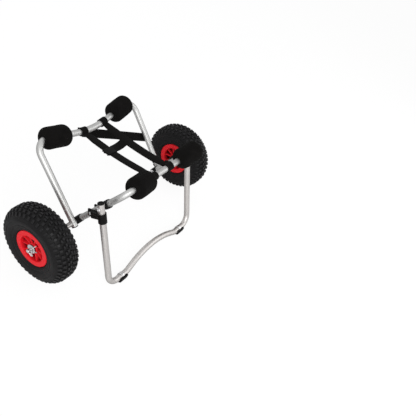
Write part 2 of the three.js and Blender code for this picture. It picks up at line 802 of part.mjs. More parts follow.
function makeSleeve(side) {
  const inner = rearHalfWidth + tubeRadius + fitGap;
  const outer = wheelPlane - hubEnd - fitGap;
  const ring = ringAlongX(sleeveRadius, clearRadius(axleRadius, smallSides), inner, outer);
  return outboard(ring, side);
}

function makeWasher(side) {
  const inner = wheelPlane + hubEnd + fitGap;
  const ring = ringAlongX(washerRadius, clearRadius(axleRadius, smallSides), inner,
    inner + washerThickness, tubeSides);
  return outboard(ring, side);
}

// Spring clip: a straight leg through the axle, an eye, and a bowed leg round the axle's side. The
// path after the straight leg is given in shares of the bow's reach from the axle.
const clipPathShares = [
  [0, -1],
  [-1.12, -1.47],
  [-2, -1.4],
  [-2.28, -0.8],
  [-1.2, -0.28],
  [-1.02, 0.3],
  [-0.95, 1],
  [-1.25, 2.25],
];

function makeClip(side) {
  const bow = axleRadius + clipWireRadius + 2 * fitGap;
  const places = [[0, clipLegLength], [0, clipLegLength / 2], [0, 0]];
  for (const [aside, ahead] of clipPathShares) places.push([bow * aside, bow * ahead]);
  const route = new THREE.CatmullRomCurve3(places.map(([y, z]) => new THREE.Vector3(0, y, z)));
  const section = new THREE.Shape();
  section.absarc(0, 0, clipWireRadius, 0, 2 * Math.PI);
  const clip = new THREE.ExtrudeGeometry(section, {
    steps: clipSteps,
    curveSegments: wireSides / 2,
    extrudePath: route,
  });
  clip.rotateX(radians(clipTurnDegrees));
  return clip.translate(side * clipPlace, 0, 0);
}

// Straps. A place on a top bar, in the frame's own plane, is turned by the frame's lean.
const rearTurn = rearLean - Math.PI / 2;
const frontTurn = Math.PI / 2 - frontLean;

function barPlace(halfWidth, legLength, x) {
  const slope = cradleDrop / halfWidth;
  const flat = cradleRadius * Math.sin(Math.atan(slope));
  const straight = legLength - (halfWidth - Math.abs(x)) * slope;
  if (Math.abs(x) > flat) return straight;
  const centre = legLength - cradleDrop + cradleRadius / Math.cos(Math.atan(slope));
  return centre - Math.sqrt(cradleRadius ** 2 - x ** 2);
}

function barPoint(halfWidth, legLength, turn, x) {
  const place = new THREE.Vector3(x, 0, barPlace(halfWidth, legLength, x));
  return place.applyAxisAngle(new THREE.Vector3(1, 0, 0), turn);
}

// A band round a bar at x, square to the bar, in the frame's own plane.
function makeLoop(halfWidth, legLength, x) {
  const half = loopWidth / 2;
  const rise = barPlace(halfWidth, legLength, x + half) - barPlace(halfWidth, legLength, x - half);
  const tilt = Math.atan2(rise, loopWidth);
  const inner = clearRadius(tubeRadius, tubeSides) + fitGap;
  const band = ringAlongX(inner + loopThickness, inner, -half, half, tubeSides);
  band.rotateY(-tilt);
  return band.translate(x, 0, barPlace(halfWidth, legLength, x));
}

// A flat ribbon through points. Its width runs along a direction that turns from the first to the
// second given one, so that each end lies flat against what it is sewn to.
function makeRibbon(points, firstAcross, lastAcross, sizes = {}) {
  const { width = strapWidth, endWidth = width, thickness = strapThickness } = sizes;
  const positions = [];
  const last = points.length - 1;
  points.forEach((point, i) => {
    const ahead = points[Math.min(i + 1, last)].clone().sub(points[Math.max(i - 1, 0)]).normalize();
    const wide = firstAcross.clone().lerp(lastAcross, i / last).normalize();
    const up = wide.clone().cross(ahead).normalize();
    const half = (i === 0 || i === last ? endWidth : width) / 2;
    for (const [w, t] of [[-1, -1], [1, -1], [1, 1], [-1, 1]]) {
      const corner = point.clone().addScaledVector(wide, w * half).addScaledVector(up, t * thickness / 2);
      positions.push(corner.x, corner.y, corner.z);
    }
  });
  const indices = [0, 1, 2, 0, 2, 3];
  for (let i = 0; i < last; i += 1) {
    for (let k = 0; k < 4; k += 1) {
      const [a, b] = [i * 4 + k, i * 4 + (k + 1) % 4];
      indices.push(a, a + 4, b + 4, a, b + 4, b);
    }
  }
  const end = last * 4;
  indices.push(end, end + 2, end + 1, end, end + 3, end + 2);
  const geometry = new THREE.BufferGeometry();
  geometry.setAttribute('position', new THREE.Float32BufferAttribute(positions, 3));
  geometry.setIndex(indices);
  return geometry;
}

// A sagging line of points from one place to another, held back from each by a clearance.
function saggingLine(from, to, backFrom, backTo, sag) {
  const heading = to.clone().sub(from).normalize();
  const start = from.clone().addScaledVector(heading, backFrom);
  const end = to.clone().addScaledVector(heading, -backTo);
  const points = [];
  for (let step = 0; step <= strapSteps; step += 1) {
    const share = step / strapSteps;
    const point = start.clone().lerp(end, share);
    point.z -= sag * 4 * share * (1 - share);
    points.push(point);
  }
  return points;
}

const loopReach = (clearRadius(tubeRadius, tubeSides) + fitGap + loopThickness) + fitGap;
const sidewise = new THREE.Vector3(1, 0, 0);

// Direction of a top bar at x, and direction of a whole line of points.
function barHeading(halfWidth, legLength, turn, x) {
  const half = loopWidth / 2;
  const ahead = barPoint(halfWidth, legLength, turn, x + half);
  return ahead.sub(barPoint(halfWidth, legLength, turn, x - half)).normalize();
}

const lineHeading = (points) => points[points.length - 1].clone().sub(points[0]).normalize();

function makeLongStrap(points, rearX, frontX) {
  return makeRibbon(points, barHeading(rearHalfWidth, rearLegLength, rearTurn, rearX),
    barHeading(frontHalfWidth, frontLegLength, frontTurn, frontX), { endWidth: loopWidth });
}

const rearPoint = (x) => barPoint(rearHalfWidth, rearLegLength, rearTurn, x);
const frontPoint = (x) => barPoint(frontHalfWidth, frontLegLength, frontTurn, x);
const leftLine = saggingLine(rearPoint(rearLoopPlaces.left), frontPoint(frontLoopPlaces.left),
  loopReach, loopReach, strapSag);
const rightLine = saggingLine(rearPoint(rearLoopPlaces.right), frontPoint(frontLoopPlaces.right),
  loopReach, loopReach, strapSag);

function along(points, share) {
  const place = share * (points.length - 1);
  const i = Math.min(Math.floor(place), points.length - 2);
  return points[i].clone().lerp(points[i + 1], place - i);
}

// The brace strap runs from the left loop to the back of the right rear leg, where one screw goes
// through it and the tube's wall.
const braceScrewFace = tubeRadius + fitGap + strapThickness;

function makeBrace() {
  const from = rearPoint(rearLoopPlaces.left);
  const legPlace = new THREE.Vector3(rearHalfWidth, 0, bracePlaceOnLeg)
    .applyAxisAngle(sidewise, rearTurn);
  const behind = new THREE.Vector3(0, 1, 0).applyAxisAngle(sidewise, rearTurn);
  const start = from.clone().addScaledVector(behind, loopReach + fitGap + strapThickness / 2);
  const end = legPlace.clone().addScaledVector(behind, braceScrewFace - strapThickness / 2);
  const points = saggingLine(start, end, 0, -braceTail, 0);
  const across = legPlace.clone().setX(0).normalize();
  const hole = rodAlongY(clearRadius(boltRadius, boltSides), 0, braceScrewFace + cutOverrun,
    rearHalfWidth, bracePlaceOnLeg, boltSides).rotateX(rearTurn);
  return cut(makeRibbon([points[0], points[points.length - 1]], across, across), hole);
}

function makeBraceScrew() {
  const screw = makeScrew(braceScrewFace, tubeBore - boltHeadHeight);
  return screw.rotateX(-Math.PI / 2).translate(rearHalfWidth, 0, bracePlaceOnLeg);
}

// Short strap between the two long ones, clear of both by half their widths.
function makeShortStrap() {
  const from = along(rightLine, shortStrapShares.onRight);
  const to = along(leftLine, shortStrapShares.onLeft);
  const points = saggingLine(from, to, strapWidth / 2 + 2 * fitGap, adjusterWidth / 2 + 3 * fitGap,
    strapSag / 2);
  return makeRibbon(points, lineHeading(rightLine), lineHeading(leftLine));
}

// Adjuster on the left strap: a moulded slide that the strap runs through, with two ribs on top.
function makeAdjuster() {
  const place = shortStrapShares.onLeft * strapSteps;
  const from = leftLine[Math.floor(place)];
  const heading = leftLine[Math.floor(place) + 1].clone().sub(from).normalize();
  const middle = along(leftLine, shortStrapShares.onLeft);
  const across = barHeading(rearHalfWidth, rearLegLength, rearTurn, rearLoopPlaces.left)
    .lerp(barHeading(frontHalfWidth, frontLegLength, frontTurn, frontLoopPlaces.left), place / strapSteps)
    .normalize();
  const up = across.clone().cross(heading).normalize();
  const stretch = (at, reach, lift) => [-1, 1].map((end) => (
    middle.clone().addScaledVector(heading, at + end * reach / 2).addScaledVector(up, lift)
  ));
  const body = makeRibbon(stretch(0, adjusterLength, 0), across, across,
    { width: adjusterWidth, thickness: adjusterHeight });
  const ribs = [-1, 1].map((end) => makeRibbon(
    stretch(end * adjusterLength / 4, adjusterRib, (adjusterHeight + adjusterRib) / 2),
    across, across, { width: adjusterWidth - adjusterRib, thickness: 2 * adjusterRib }));
  const slot = makeRibbon(stretch(0, adjusterLength + cutOverrun, 0), across, across,
    { width: strapWidth + 4 * fitGap, thickness: strapThickness + 4 * fitGap });
  return cut(join(body, ...ribs), slot);
}

// Assembly.
const cart = new THREE.Group();
const rearFrame = new THREE.Group();
rearFrame.rotation.x = rearTurn;
const frontFrame = new THREE.Group();
frontFrame.rotation.x = frontTurn;
const kickstand = new THREE.Group();
const pivotPoint = new THREE.Vector3(0, 0, pivotReach).applyAxisAngle(sidewise, frontTurn);
kickstand.position.copy(pivotPoint);
kickstand.rotation.x = Math.PI / 2 + kickAngle;
const axleGroup = new THREE.Group();
const strapGroup = new THREE.Group();
cart.add(rearFrame, frontFrame, kickstand, axleGroup, strapGroup);

rearFrame.add(piece('rear_frame_tube', makeRearTube(), aluminium));
frontFrame.add(piece('front_frame_tube', makeFrontTube(), aluminium));
kickstand.add(piece('kickstand_tube', makeKickTube(), aluminium));
for (const name of ['left', 'right']) {
  const loop = makeLoop(rearHalfWidth, rearLegLength, rearLoopPlaces[name]);
  rearFrame.add(piece(`strap_loop_rear_${name}`, loop, webbing));
}
for (const name of ['left', 'right']) {
  const loop = makeLoop(frontHalfWidth, frontLegLength, frontLoopPlaces[name]);
  frontFrame.add(piece(`strap_loop_front_${name}`, loop, webbing));
}
for (const [name, line] of [['left', leftLine], ['right', rightLine]]) {
  const strap = makeLongStrap(line, rearLoopPlaces[name], frontLoopPlaces[name]);
  strapGroup.add(piece(`strap_long_${name}`, strap, webbing));
}
strapGroup.add(piece('strap_brace', makeBrace(), webbing));
rearFrame.add(piece('brace_screw', makeBraceScrew(), steel));
strapGroup.add(piece('strap_short', makeShortStrap(), webbing));
strapGroup.add(piece('strap_adjuster', makeAdjuster(), blackPlastic));

for (const [name, side] of [['left', -1], ['right', 1]]) {
  const kickPlane = side * rearHalfWidth;
  rearFrame.add(piece(`foam_pad_rear_${name}`, makePad(rearHalfWidth, rearLegLength, rearRoute, side), foam));
  rearFrame.add(piece(`rear_leg_plug_${name}`, makePlug(kickPlane, -rearFootTail, 1), blackPlastic));
  const frontPad = makePad(frontHalfWidth, frontLegLength, frontRoute, side);
  frontFrame.add(piece(`foam_pad_front_${name}`, frontPad, foam));
  frontFrame.add(piece(`front_leg_eye_${name}`, makeEye(side), blackPlastic));
  frontFrame.add(piece(`kickstand_bracket_${name}`, makeCollar(side), blackPlastic));
  frontFrame.add(piece(`leg_screw_${name}`,
    makeBolt(side, frontHalfWidth + tubeRadius, frontHalfWidth - tubeRadius, legScrewAt), steel));
  frontFrame.add(piece(`pivot_bolt_${name}`,
    makeBolt(side, rearHalfWidth + tubeRadius, frontHalfWidth - collarRadius, pivotReach), steel));
  kickstand.add(piece(`kickstand_cap_${name}`, makePlug(kickPlane, -kickTopTail, 1), blackPlastic));
  kickstand.add(piece(`kickstand_knuckle_${name}`, makeKnuckle(side), blackPlastic));
  kickstand.add(piece(`fork_plunger_${name}`, makePlunger(side), steel));
  const footSolid = extrudedAlongX(footOutline(), footLength, side * footAt);
  const foot = piece(`kickstand_foot_${name}`, footSolid, rubber);
  const clipSolid = extrudedAlongX(footClipOutline(), footClipWidth, side * footAt);
  const clip = piece(`foot_clip_${name}`, clipSolid, steel);
  for (const mesh of [foot, clip]) {
    mesh.position.z = kickLength;
    mesh.rotation.x = -kickstand.rotation.x;
    kickstand.add(mesh);
  }
  axleGroup.add(piece(`axle_pin_${name}`, makeAxle(side), steel));
  axleGroup.add(piece(`axle_sleeve_${name}`, makeSleeve(side), aluminium));
  axleGroup.add(piece(`axle_washer_${name}`, makeWasher(side), steel));
  axleGroup.add(piece(`spring_clip_${name}`, makeClip(side), steel));
  axleGroup.add(piece(`tyre_${name}`, makeTyre(side), rubber));
  axleGroup.add(piece(`inner_tube_${name}`, makeInnerTube(side), rubber));
  axleGroup.add(piece(`rim_${name}`, makeRim(side), redPlastic));
  axleGroup.add(piece(`valve_${name}`, makeValve(side), rubber));
  axleGroup.add(piece(`bush_outer_${name}`, makeBush(side, 1), blackPlastic));
  axleGroup.add(piece(`bush_inner_${name}`, makeBush(side, -1), blackPlastic));
}

// The origin is on the ground, under the middle of the whole cart.
cart.updateMatrixWorld(true);
const box = new THREE.Box3().setFromObject(cart, true);
cart.position.set(0, -(box.min.y + box.max.y) / 2, -box.min.z);

export default cart;
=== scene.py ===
# %% [markdown]
# # A folding kayak cart
# The cart has two U-shaped aluminium frames that open into a V over a pair of knobbly wheels.
# Foam pads and webbing straps cradle the hull, and a third U of tube is the kickstand. The packed
# model gives every piece its place and its joint. This script dresses each piece with a finer
# surface and a procedural material, and leaves the sizes alone.

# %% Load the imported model
from contextlib import contextmanager
from math import atan, atan2, cos, hypot, pi, radians, sin, sqrt, tan
import bmesh
import bpy
from mathutils import Matrix, Vector, noise


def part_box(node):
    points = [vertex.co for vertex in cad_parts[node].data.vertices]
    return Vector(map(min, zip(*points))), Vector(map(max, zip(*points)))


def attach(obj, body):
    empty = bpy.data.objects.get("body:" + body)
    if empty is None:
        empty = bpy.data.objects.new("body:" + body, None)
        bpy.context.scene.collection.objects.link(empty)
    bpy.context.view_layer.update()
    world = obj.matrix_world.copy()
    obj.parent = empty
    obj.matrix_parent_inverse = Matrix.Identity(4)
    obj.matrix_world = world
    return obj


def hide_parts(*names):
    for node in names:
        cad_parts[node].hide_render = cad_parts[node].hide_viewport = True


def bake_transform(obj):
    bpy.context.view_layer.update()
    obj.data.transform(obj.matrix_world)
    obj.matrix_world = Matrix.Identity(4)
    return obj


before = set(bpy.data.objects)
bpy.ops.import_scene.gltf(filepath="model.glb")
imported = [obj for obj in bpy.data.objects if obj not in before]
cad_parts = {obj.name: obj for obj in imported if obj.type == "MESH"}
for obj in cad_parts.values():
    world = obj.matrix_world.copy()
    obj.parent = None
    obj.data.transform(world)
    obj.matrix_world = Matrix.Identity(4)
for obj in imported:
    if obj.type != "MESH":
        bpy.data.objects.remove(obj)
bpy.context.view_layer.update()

# %% [markdown]
# ## Where things are
# All pieces share one frame: X runs along the axle, Y away from the kickstand, Z up, in metres.
# Each U lies in its own tilted plane, so a matrix per U turns flat drawings into their real
# places. The axle's place is measured on a washer of the model, so nothing is typed twice.

# %% The planes of the three tubes
low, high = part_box("axle_washer_left")
AXLE = Vector((0, (low.y + high.y) / 2, (low.z + high.z) / 2))
SIDES = (("left", -1), ("right", 1))
TUBE, GAP = 0.0105, 0.0003
shifted = Matrix.Translation


def turned(angle, axis):
    return Matrix.Rotation(angle, 4, axis)


REAR_LEAN = radians(36.8)
FRONT_LEAN = radians(65.6)
KICK_ANGLE = radians(62.4)
PIVOT_REACH, SCREW_REACH = 0.166, 0.128
REAR_HALF, FRONT_INSET, WHEEL_OUT = 0.2232, 0.027, 0.13
FRONT_HALF = REAR_HALF - FRONT_INSET
WHEEL_PLANE = REAR_HALF + WHEEL_OUT

REAR = shifted(AXLE) @ turned(REAR_LEAN - pi / 2, "X")
FRONT = shifted(AXLE) @ turned(pi / 2 - FRONT_LEAN, "X")
PIVOT = FRONT @ Vector((0, 0, PIVOT_REACH))
KICK = shifted(PIVOT) @ turned(pi / 2 + KICK_ANGLE, "X")
print("axle", tuple(round(c, 4) for c in AXLE), "pivot", tuple(round(c, 4) for c in PIVOT))

# %% [markdown]
# ## Helpers used all through
# A few small steps come back in every section: putting an object in the scene, adding a node with
# its inputs filled, and handing a finished piece over. Filling an input is one step here, whether
# with a value or with another node's output, so a tree reads from its first node to its last.

# %% Define the small helpers


def linked(name, data):
    obj = bpy.data.objects.new(name, data)
    bpy.context.collection.objects.link(obj)
    return obj


def feed(tree, node, inputs):
    """Gives each input its value, or a link where the value is another node's socket."""
    for key, value in inputs.items():
        if isinstance(value, bpy.types.NodeSocket):
            tree.links.new(value, node.inputs[key])
        else:
            node.inputs[key].default_value = value
    return node


def add(tree, kind, inputs=None, **settings):
    """A new node. Its settings come first, because they decide which inputs it has."""
    node = tree.nodes.new(kind)
    for name, value in settings.items():
        setattr(node, name, value)
    return feed(tree, node, inputs or {})


def maths(tree, operation, *values):
    return add(tree, "ShaderNodeMath", dict(enumerate(values)), operation=operation).outputs[0]


def mixed(tree, share, first, second, kind="RGBA"):
    mix = add(tree, "ShaderNodeMix", {"Factor": share, "A": first, "B": second}, data_type=kind)
    return mix.outputs["Result"]


def new_group(name, kind, inputs, outputs):
    """An empty node group. inputs and outputs name its sockets and say what each one carries."""
    group = bpy.data.node_groups.new(name, kind)
    for way, sockets in (("INPUT", inputs), ("OUTPUT", outputs)):
        for label, carries in sockets.items():
            group.interface.new_socket(label, in_out=way, socket_type="NodeSocket" + carries)
    return group, group.nodes.new("NodeGroupInput").outputs, group.nodes.new("NodeGroupOutput")


def blank(name):
    material = bpy.data.materials.new(name)
    material.use_nodes = True
    return material, material.node_tree, material.node_tree.nodes["Principled BSDF"]


def hand_over(piece, body=None):
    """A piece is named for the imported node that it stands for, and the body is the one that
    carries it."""
    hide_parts(piece.name.removesuffix("_dressed"))
    if body:
        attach(piece, body)
    print(piece.name, len(piece.data.polygons), "faces")


print("small helpers ready")

# %% [markdown]
# ## The camera
# The photograph looks down on the cart from its front left and is turned about the line of sight,
# so the near wheel sits low. A matrix whose columns are the camera's right, up and back directions
# states that view exactly, which is easier to check than three angles.

# %% Set the camera
RIGHT = Vector((0.5308, -0.7343, 0.4231)).normalized()
AHEAD = Vector((0.7207, 0.1284, -0.6814)).normalized()
LENS, SENSOR = 41.01, 36
eye = Vector((-1.0542, -0.4739, 1.3559)) + Vector((0, AXLE.y, 0))
facing = Matrix((RIGHT, RIGHT.cross(AHEAD), -AHEAD)).transposed()

camera = linked("camera", bpy.data.cameras.new("camera"))
camera.matrix_world = shifted(eye) @ facing.to_4x4()
camera.data.lens = LENS
camera.data.sensor_width = SENSOR
bpy.context.scene.camera = camera
print("camera stands", round((eye - AXLE).length, 3), "m from the axle")

# %% [markdown]
# ## Light and ground
# A product picture wants broad, soft light and a white ground. The world is white where the camera
# sees it, a little dimmer in mirrored light and dimmer still where it lights the cart. Three large
# area lamps give the tubes their long highlights. The ground mixes a pale matte surface with plain
# white for camera rays only, so the cart keeps a faint shadow and needs no more light itself.

# %% Light the world
AMBIENT, MIRRORED, SEEN = 0.5, 0.62, 1.0
world = bpy.data.worlds.new("studio")
bpy.context.scene.world = world
world.use_nodes = True
tree = world.node_tree
tree.nodes.clear()
path = add(tree, "ShaderNodeLightPath")
shine = add(tree, "ShaderNodeMapRange", {
    "Value": path.outputs["Is Glossy Ray"], "To Min": AMBIENT, "To Max": MIRRORED})
level = mixed(tree, path.outputs["Is Camera Ray"], shine.outputs["Result"], SEEN, "FLOAT")
sky = add(tree, "ShaderNodeBackground", {"Color": (1, 1, 1, 1), "Strength": level})
add(tree, "ShaderNodeOutputWorld", {"Surface": sky.outputs["Background"]})
print("world levels:", AMBIENT, MIRRORED, SEEN)

# %% Place the lamps
AIM = Vector((0, 0, 0.2))


def soft_lamp(name, place, size, power):
    lamp = linked(name, bpy.data.lights.new(name, "AREA"))
    lamp.data.shape = "DISK"
    lamp.data.size = size
    lamp.data.energy = power
    lamp.location = place
    lamp.rotation_euler = (AIM - Vector(place)).to_track_quat("-Z", "Y").to_euler()
    print(name, "lamp of", power, "W")


soft_lamp("key", (-2.0, -1.4, 2.0), 2.8, 41)
soft_lamp("fill", (1.8, -1.6, 1.4), 2.4, 14)
soft_lamp("back", (0.4, 2.2, 1.8), 2.4, 6)

# %% Lay the ground
GROUND_SIZE, GROUND_DROP, GLOW, GLOW_SHARE = 14, 0.0006, 1.08, 0.84
bpy.ops.mesh.primitive_plane_add(size=GROUND_SIZE, location=(0, 0, -GROUND_DROP))
ground = bpy.context.object
ground.name = "ground"
pale, tree, shader = blank("pale_ground")
feed(tree, shader, {"Base Color": (0.8, 0.8, 0.8, 1), "Roughness": 0.9, "Specular IOR Level": 0.1})
white = add(tree, "ShaderNodeEmission", {"Strength": GLOW})
path = add(tree, "ShaderNodeLightPath")
share = maths(tree, "MULTIPLY", path.outputs["Is Camera Ray"], GLOW_SHARE)
blend = add(tree, "ShaderNodeMixShader", {"Fac": share, 1: shader.outputs[0], 2: white.outputs[0]})
feed(tree, tree.nodes["Material Output"], {"Surface": blend.outputs[0]})
ground.data.materials.append(pale)
bpy.context.scene.view_settings.view_transform = "Standard"
print("ground at z =", ground.location.z)

# %% [markdown]
# ## Shared surface effects
# Every real surface has small uneven colour and sheen. Two node groups give that to all the
# materials: one mottles a colour between two values, and one turns fine noise into a height for a
# bump. A group is built once and placed in each material with its own values.

# %% Build the shared node groups
ROUNDNESS = 0.5


def mottle_group():
    group, given, end = new_group("mottle", "ShaderNodeTree", {
        "Vector": "Vector", "Scale": "Float", "Dark": "Color", "Light": "Color", "Low": "Float",
        "High": "Float"}, {"Color": "Color", "Value": "Float"})
    spots = add(group, "ShaderNodeTexNoise", {
        "Vector": given["Vector"], "Scale": given["Scale"], "Detail": 4})
    share = add(group, "ShaderNodeMapRange", {
        "Value": spots.outputs["Fac"], "From Min": 0.3, "From Max": 0.7}).outputs["Result"]
    value = add(group, "ShaderNodeMapRange", {
        "Value": share, "To Min": given["Low"], "To Max": given["High"]})
    feed(group, end, {
        "Color": mixed(group, share, given["Dark"], given["Light"]), "Value": value.outputs["Result"]})
    return group


def pebble_group():
    group, given, end = new_group("pebble", "ShaderNodeTree", {
        "Vector": "Vector", "Scale": "Float"}, {"Height": "Float"})
    place = {"Vector": given["Vector"], "Scale": given["Scale"]}
    cells = add(group, "ShaderNodeTexVoronoi", place).outputs["Distance"]
    grain = add(group, "ShaderNodeTexNoise", place).outputs["Fac"]
    feed(group, end, {"Height": mixed(group, ROUNDNESS, grain, cells, "FLOAT")})
    return group


MOTTLE = mottle_group()
PEBBLE = pebble_group()
print("shared groups:", MOTTLE.name, PEBBLE.name)

# %% [markdown]
# ## Materials
# A material here is a Principled shader fed by those groups: a mottle for colour and roughness and
# a pebble for the bump, all on Object coordinates, which stay fixed to a piece when it moves. What
# is the same all over a surface is set on the shader's own socket. Each finish is given by a dark
# and a light colour, a range of roughness, the scales of mottle and bump, and the bump's strength.

# %% A helper for finishes
BUMP_HEIGHT = 0.0006


def mottled(tree, place, dark, light, rough, scale):
    return add(tree, "ShaderNodeGroup", {
        "Vector": place, "Scale": scale, "Dark": (*dark, 1), "Light": (*light, 1),
        "Low": rough[0], "High": rough[1]}, node_tree=MOTTLE)


def surface(tree, shader, mottle, height, bump, more):
    """Feeds a shader from a mottle and a height. more holds its other inputs."""
    relief = add(tree, "ShaderNodeBump", {"Height": height, "Strength": bump[0], "Distance": bump[1]})
    feed(tree, shader, {"Base Color": mottle.outputs["Color"], "Roughness": mottle.outputs["Value"],
                        "Normal": relief.outputs["Normal"], **more})


def finish(name, dark, light, rough, scale, bump_scale, bump, metallic=0.0, specular=0.5):
    material, tree, shader = blank(name)
    place = add(tree, "ShaderNodeTexCoord").outputs["Object"]
    mottle = mottled(tree, place, dark, light, rough, scale)
    pebble = add(tree, "ShaderNodeGroup", {"Vector": place, "Scale": bump_scale}, node_tree=PEBBLE)
    surface(tree, shader, mottle, pebble.outputs["Height"], (bump, BUMP_HEIGHT), {
        "Metallic": metallic, "Specular IOR Level": specular})
    return material


ZINC = finish("zinc_steel", (0.74, 0.74, 0.75), (0.9, 0.9, 0.9), (0.28, 0.42), 300, 900, 0.1, metallic=1.0)
# A darker copy of the steel for the axle sleeves: painted shade for their place between wheel and leg.
SHADED_SPACER = finish("turned_spacer", (0.42, 0.40, 0.39), (0.52, 0.50, 0.49), (0.3, 0.4), 200, 700, 0.1,
                metallic=1.0)
MOULDED = finish("black_moulded_nylon", (0.0035, 0.0033, 0.0034), (0.007, 0.0068, 0.0068),
                 (0.42, 0.56), 120, 1500, 0.25, specular=0.12)
RUBBER = finish("black_foot_rubber", (0.006, 0.006, 0.006), (0.012, 0.012, 0.012),
                (0.6, 0.8), 160, 900, 0.3, specular=0.12)
TYRE = finish("charcoal_tyre_rubber", (0.0085, 0.008, 0.009), (0.018, 0.0172, 0.0188),
              (0.32, 0.46), 60, 420, 0.5, specular=0.24)
RED = finish("red_wheel_plastic", (0.92, 0.014, 0.024), (0.97, 0.022, 0.034),
             (0.36, 0.48), 50, 500, 0.12, specular=0.18)
FOAM = finish("black_closed_cell_foam", (0.004, 0.0036, 0.0034), (0.0085, 0.0078, 0.0074),
              (0.82, 0.95), 45, 1400, 0.8, specular=0.08)
print("materials:", [material.name for material in bpy.data.materials])

# %% [markdown]
# ### Painted shade in deep places
# Light hardly reaches the bottom of a rim's pockets or the grooves of a tread, and they look dark
# from every side, so shade is painted into their colour. The meshes will carry an attribute that
# says how much painted shade each point takes, from 0 at the open surface to 1 far down, and the
# finish blends towards a darker, duller colour by it. The tyre's side wall takes most of that
# painted shade too.

# %% Paint shade into the rim's pockets, the tread's grooves and the tyre's side wall
# The share of painted shade in what shiny pieces mirror, and the roughness added where the painted shade is
# full.
MIRRORED_SHADE, DULLER = 0.75, 0.2


def paint_shade(material, dark):
    """Paints shade: takes the colour down to dark, and duller, where the mesh's shade attribute is 1.
    What shiny pieces mirror gets most of that painted shade too, or a satin tube turns red beside the rim."""
    tree = material.node_tree
    shader = tree.nodes["Principled BSDF"]
    colour, rough = (shader.inputs[name].links[0].from_socket for name in ("Base Color", "Roughness"))
    painted_shade = add(tree, "ShaderNodeAttribute", attribute_name="painted_shade").outputs["Fac"]
    glossy = add(tree, "ShaderNodeLightPath").outputs["Is Glossy Ray"]
    most = maths(tree, "MAXIMUM", painted_shade, maths(tree, "MULTIPLY", glossy, MIRRORED_SHADE))
    feed(tree, shader, {
        "Base Color": mixed(tree, most, colour, (*dark, 1)),
        "Roughness": maths(tree, "MULTIPLY_ADD", painted_shade, DULLER, rough)})
    print("depth added to", material.name)


# The dark colours that the painted shade takes the rim and the tyre down to.
paint_shade(RED, (0.08, 0.002, 0.004))
paint_shade(TYRE, (0.0048, 0.0045, 0.005))

# %% [markdown]
# ### Anodised tube
# Extruded tube has fine lines along its length and an even, satin sheen. The lines have to follow
# the bends, so they can't sit on Object coordinates. The tube's mesh will carry two attributes:
# where each point lies around the tube, and how far along it. The pattern reads those. A Layer
# Weight node darkens the colour towards the tube's edges as the camera sees them: painted shade.

# %% The anodised finish
LINE_SCALE, LINE_STRETCH, SATIN_ROUGH = 700, 0.03, (0.48, 0.51)
EDGE_BLEND, EDGE_SHADE_SHARE, LINE_BUMP = 0.22, 0.22, (0.04, 0.0001)


def anodised(name, dark, light):
    material, tree, shader = blank(name)
    around = add(tree, "ShaderNodeAttribute", attribute_name="around").outputs["Vector"]
    run = add(tree, "ShaderNodeAttribute", attribute_name="run").outputs["Fac"]
    flat = add(tree, "ShaderNodeVectorMath", {0: around, 1: (1, 1, 0)}, operation="MULTIPLY")
    along = add(tree, "ShaderNodeCombineXYZ", {"Z": maths(tree, "MULTIPLY", run, LINE_STRETCH)})
    place = add(tree, "ShaderNodeVectorMath", {0: flat.outputs[0], 1: along.outputs[0]}, operation="ADD")
    mottle = mottled(tree, place.outputs[0], dark, light, SATIN_ROUGH, LINE_SCALE)
    # Painted shade: the colour falls to a small share of the light colour where the surface turns away from
    # the view.
    facing = add(tree, "ShaderNodeLayerWeight", {"Blend": EDGE_BLEND}).outputs["Facing"]
    shade = mixed(tree, facing, mottle.outputs["Color"], (*(EDGE_SHADE_SHARE * c for c in light), 1))
    surface(tree, shader, mottle, mottle.outputs["Value"], LINE_BUMP, {
        "Metallic": 1.0, "Base Color": shade})
    return material


SATIN = anodised("satin_anodised_tube", (0.72, 0.72, 0.71), (0.78, 0.78, 0.77))
SATIN_WARM = anodised("satin_kickstand_tube", (0.80, 0.77, 0.75), (0.86, 0.83, 0.81))
print("tube finishes:", SATIN.name, SATIN_WARM.name)

# %% [markdown]
# ### Webbing
# Polyester webbing is a plain weave of thick yarns. Its pattern has to run along each strap, so it
# reads the strap's own UV map, laid out in metres: two waves at right angles make the yarns' rows,
# and their product is the height of the weave.

# %% The webbing finish
YARNS_ACROSS, YARNS_ALONG, YARN_BUMP = 110, 150, (0.5, 0.0004)


def webbing_finish():
    material, tree, shader = blank("black_webbing")
    uv = add(tree, "ShaderNodeUVMap", uv_map="strap").outputs["UV"]
    waves = [add(tree, "ShaderNodeTexWave", {"Vector": uv, "Scale": scale}, bands_direction=direction)
             for direction, scale in (("X", YARNS_ACROSS), ("Y", YARNS_ALONG))]
    weave = maths(tree, "MULTIPLY", *(wave.outputs["Fac"] for wave in waves))
    mottle = mottled(tree, uv, (0.0042, 0.0038, 0.0036), (0.0085, 0.0078, 0.0075), (0.75, 0.95), 90)
    surface(tree, shader, mottle, weave, YARN_BUMP, {
        "Specular IOR Level": 0.08, "Sheen Weight": 0.02, "Sheen Roughness": 0.5})
    return material


WEBBING = webbing_finish()
print("strap finish:", WEBBING.name)

# %% [markdown]
# ## Making meshes
# A few helpers make most shapes. One wraps vertices and faces in an object, and one turns a profile
# about the X axis as a lathe does. Every mesh is then shaded smooth but for its sharp edges, so
# that a turned piece is smooth on its curves and crisp on its corners.

# %% Mesh helpers
MERGE, CUT_SHARE, CORNER_STEPS = 1e-6, 0.45, 4


@contextmanager
def edited(mesh):
    """Opens a mesh for editing and writes the result back."""
    form = bmesh.new()
    form.from_mesh(mesh)
    yield form
    form.to_mesh(mesh)
    form.free()


def shaded(mesh, limit, merge=True):
    """Merges doubles, turns faces outwards, and marks edges that turn more than limit degrees."""
    with edited(mesh) as form:
        if merge:
            bmesh.ops.remove_doubles(form, verts=form.verts, dist=MERGE)
            bmesh.ops.recalc_face_normals(form, faces=form.faces)
        for face in form.faces:
            face.smooth = True
            face.material_index = 0
        for edge in form.edges:
            sharp = len(edge.link_faces) == 2 and edge.calc_face_angle(0) > radians(limit)
            edge.smooth = not sharp


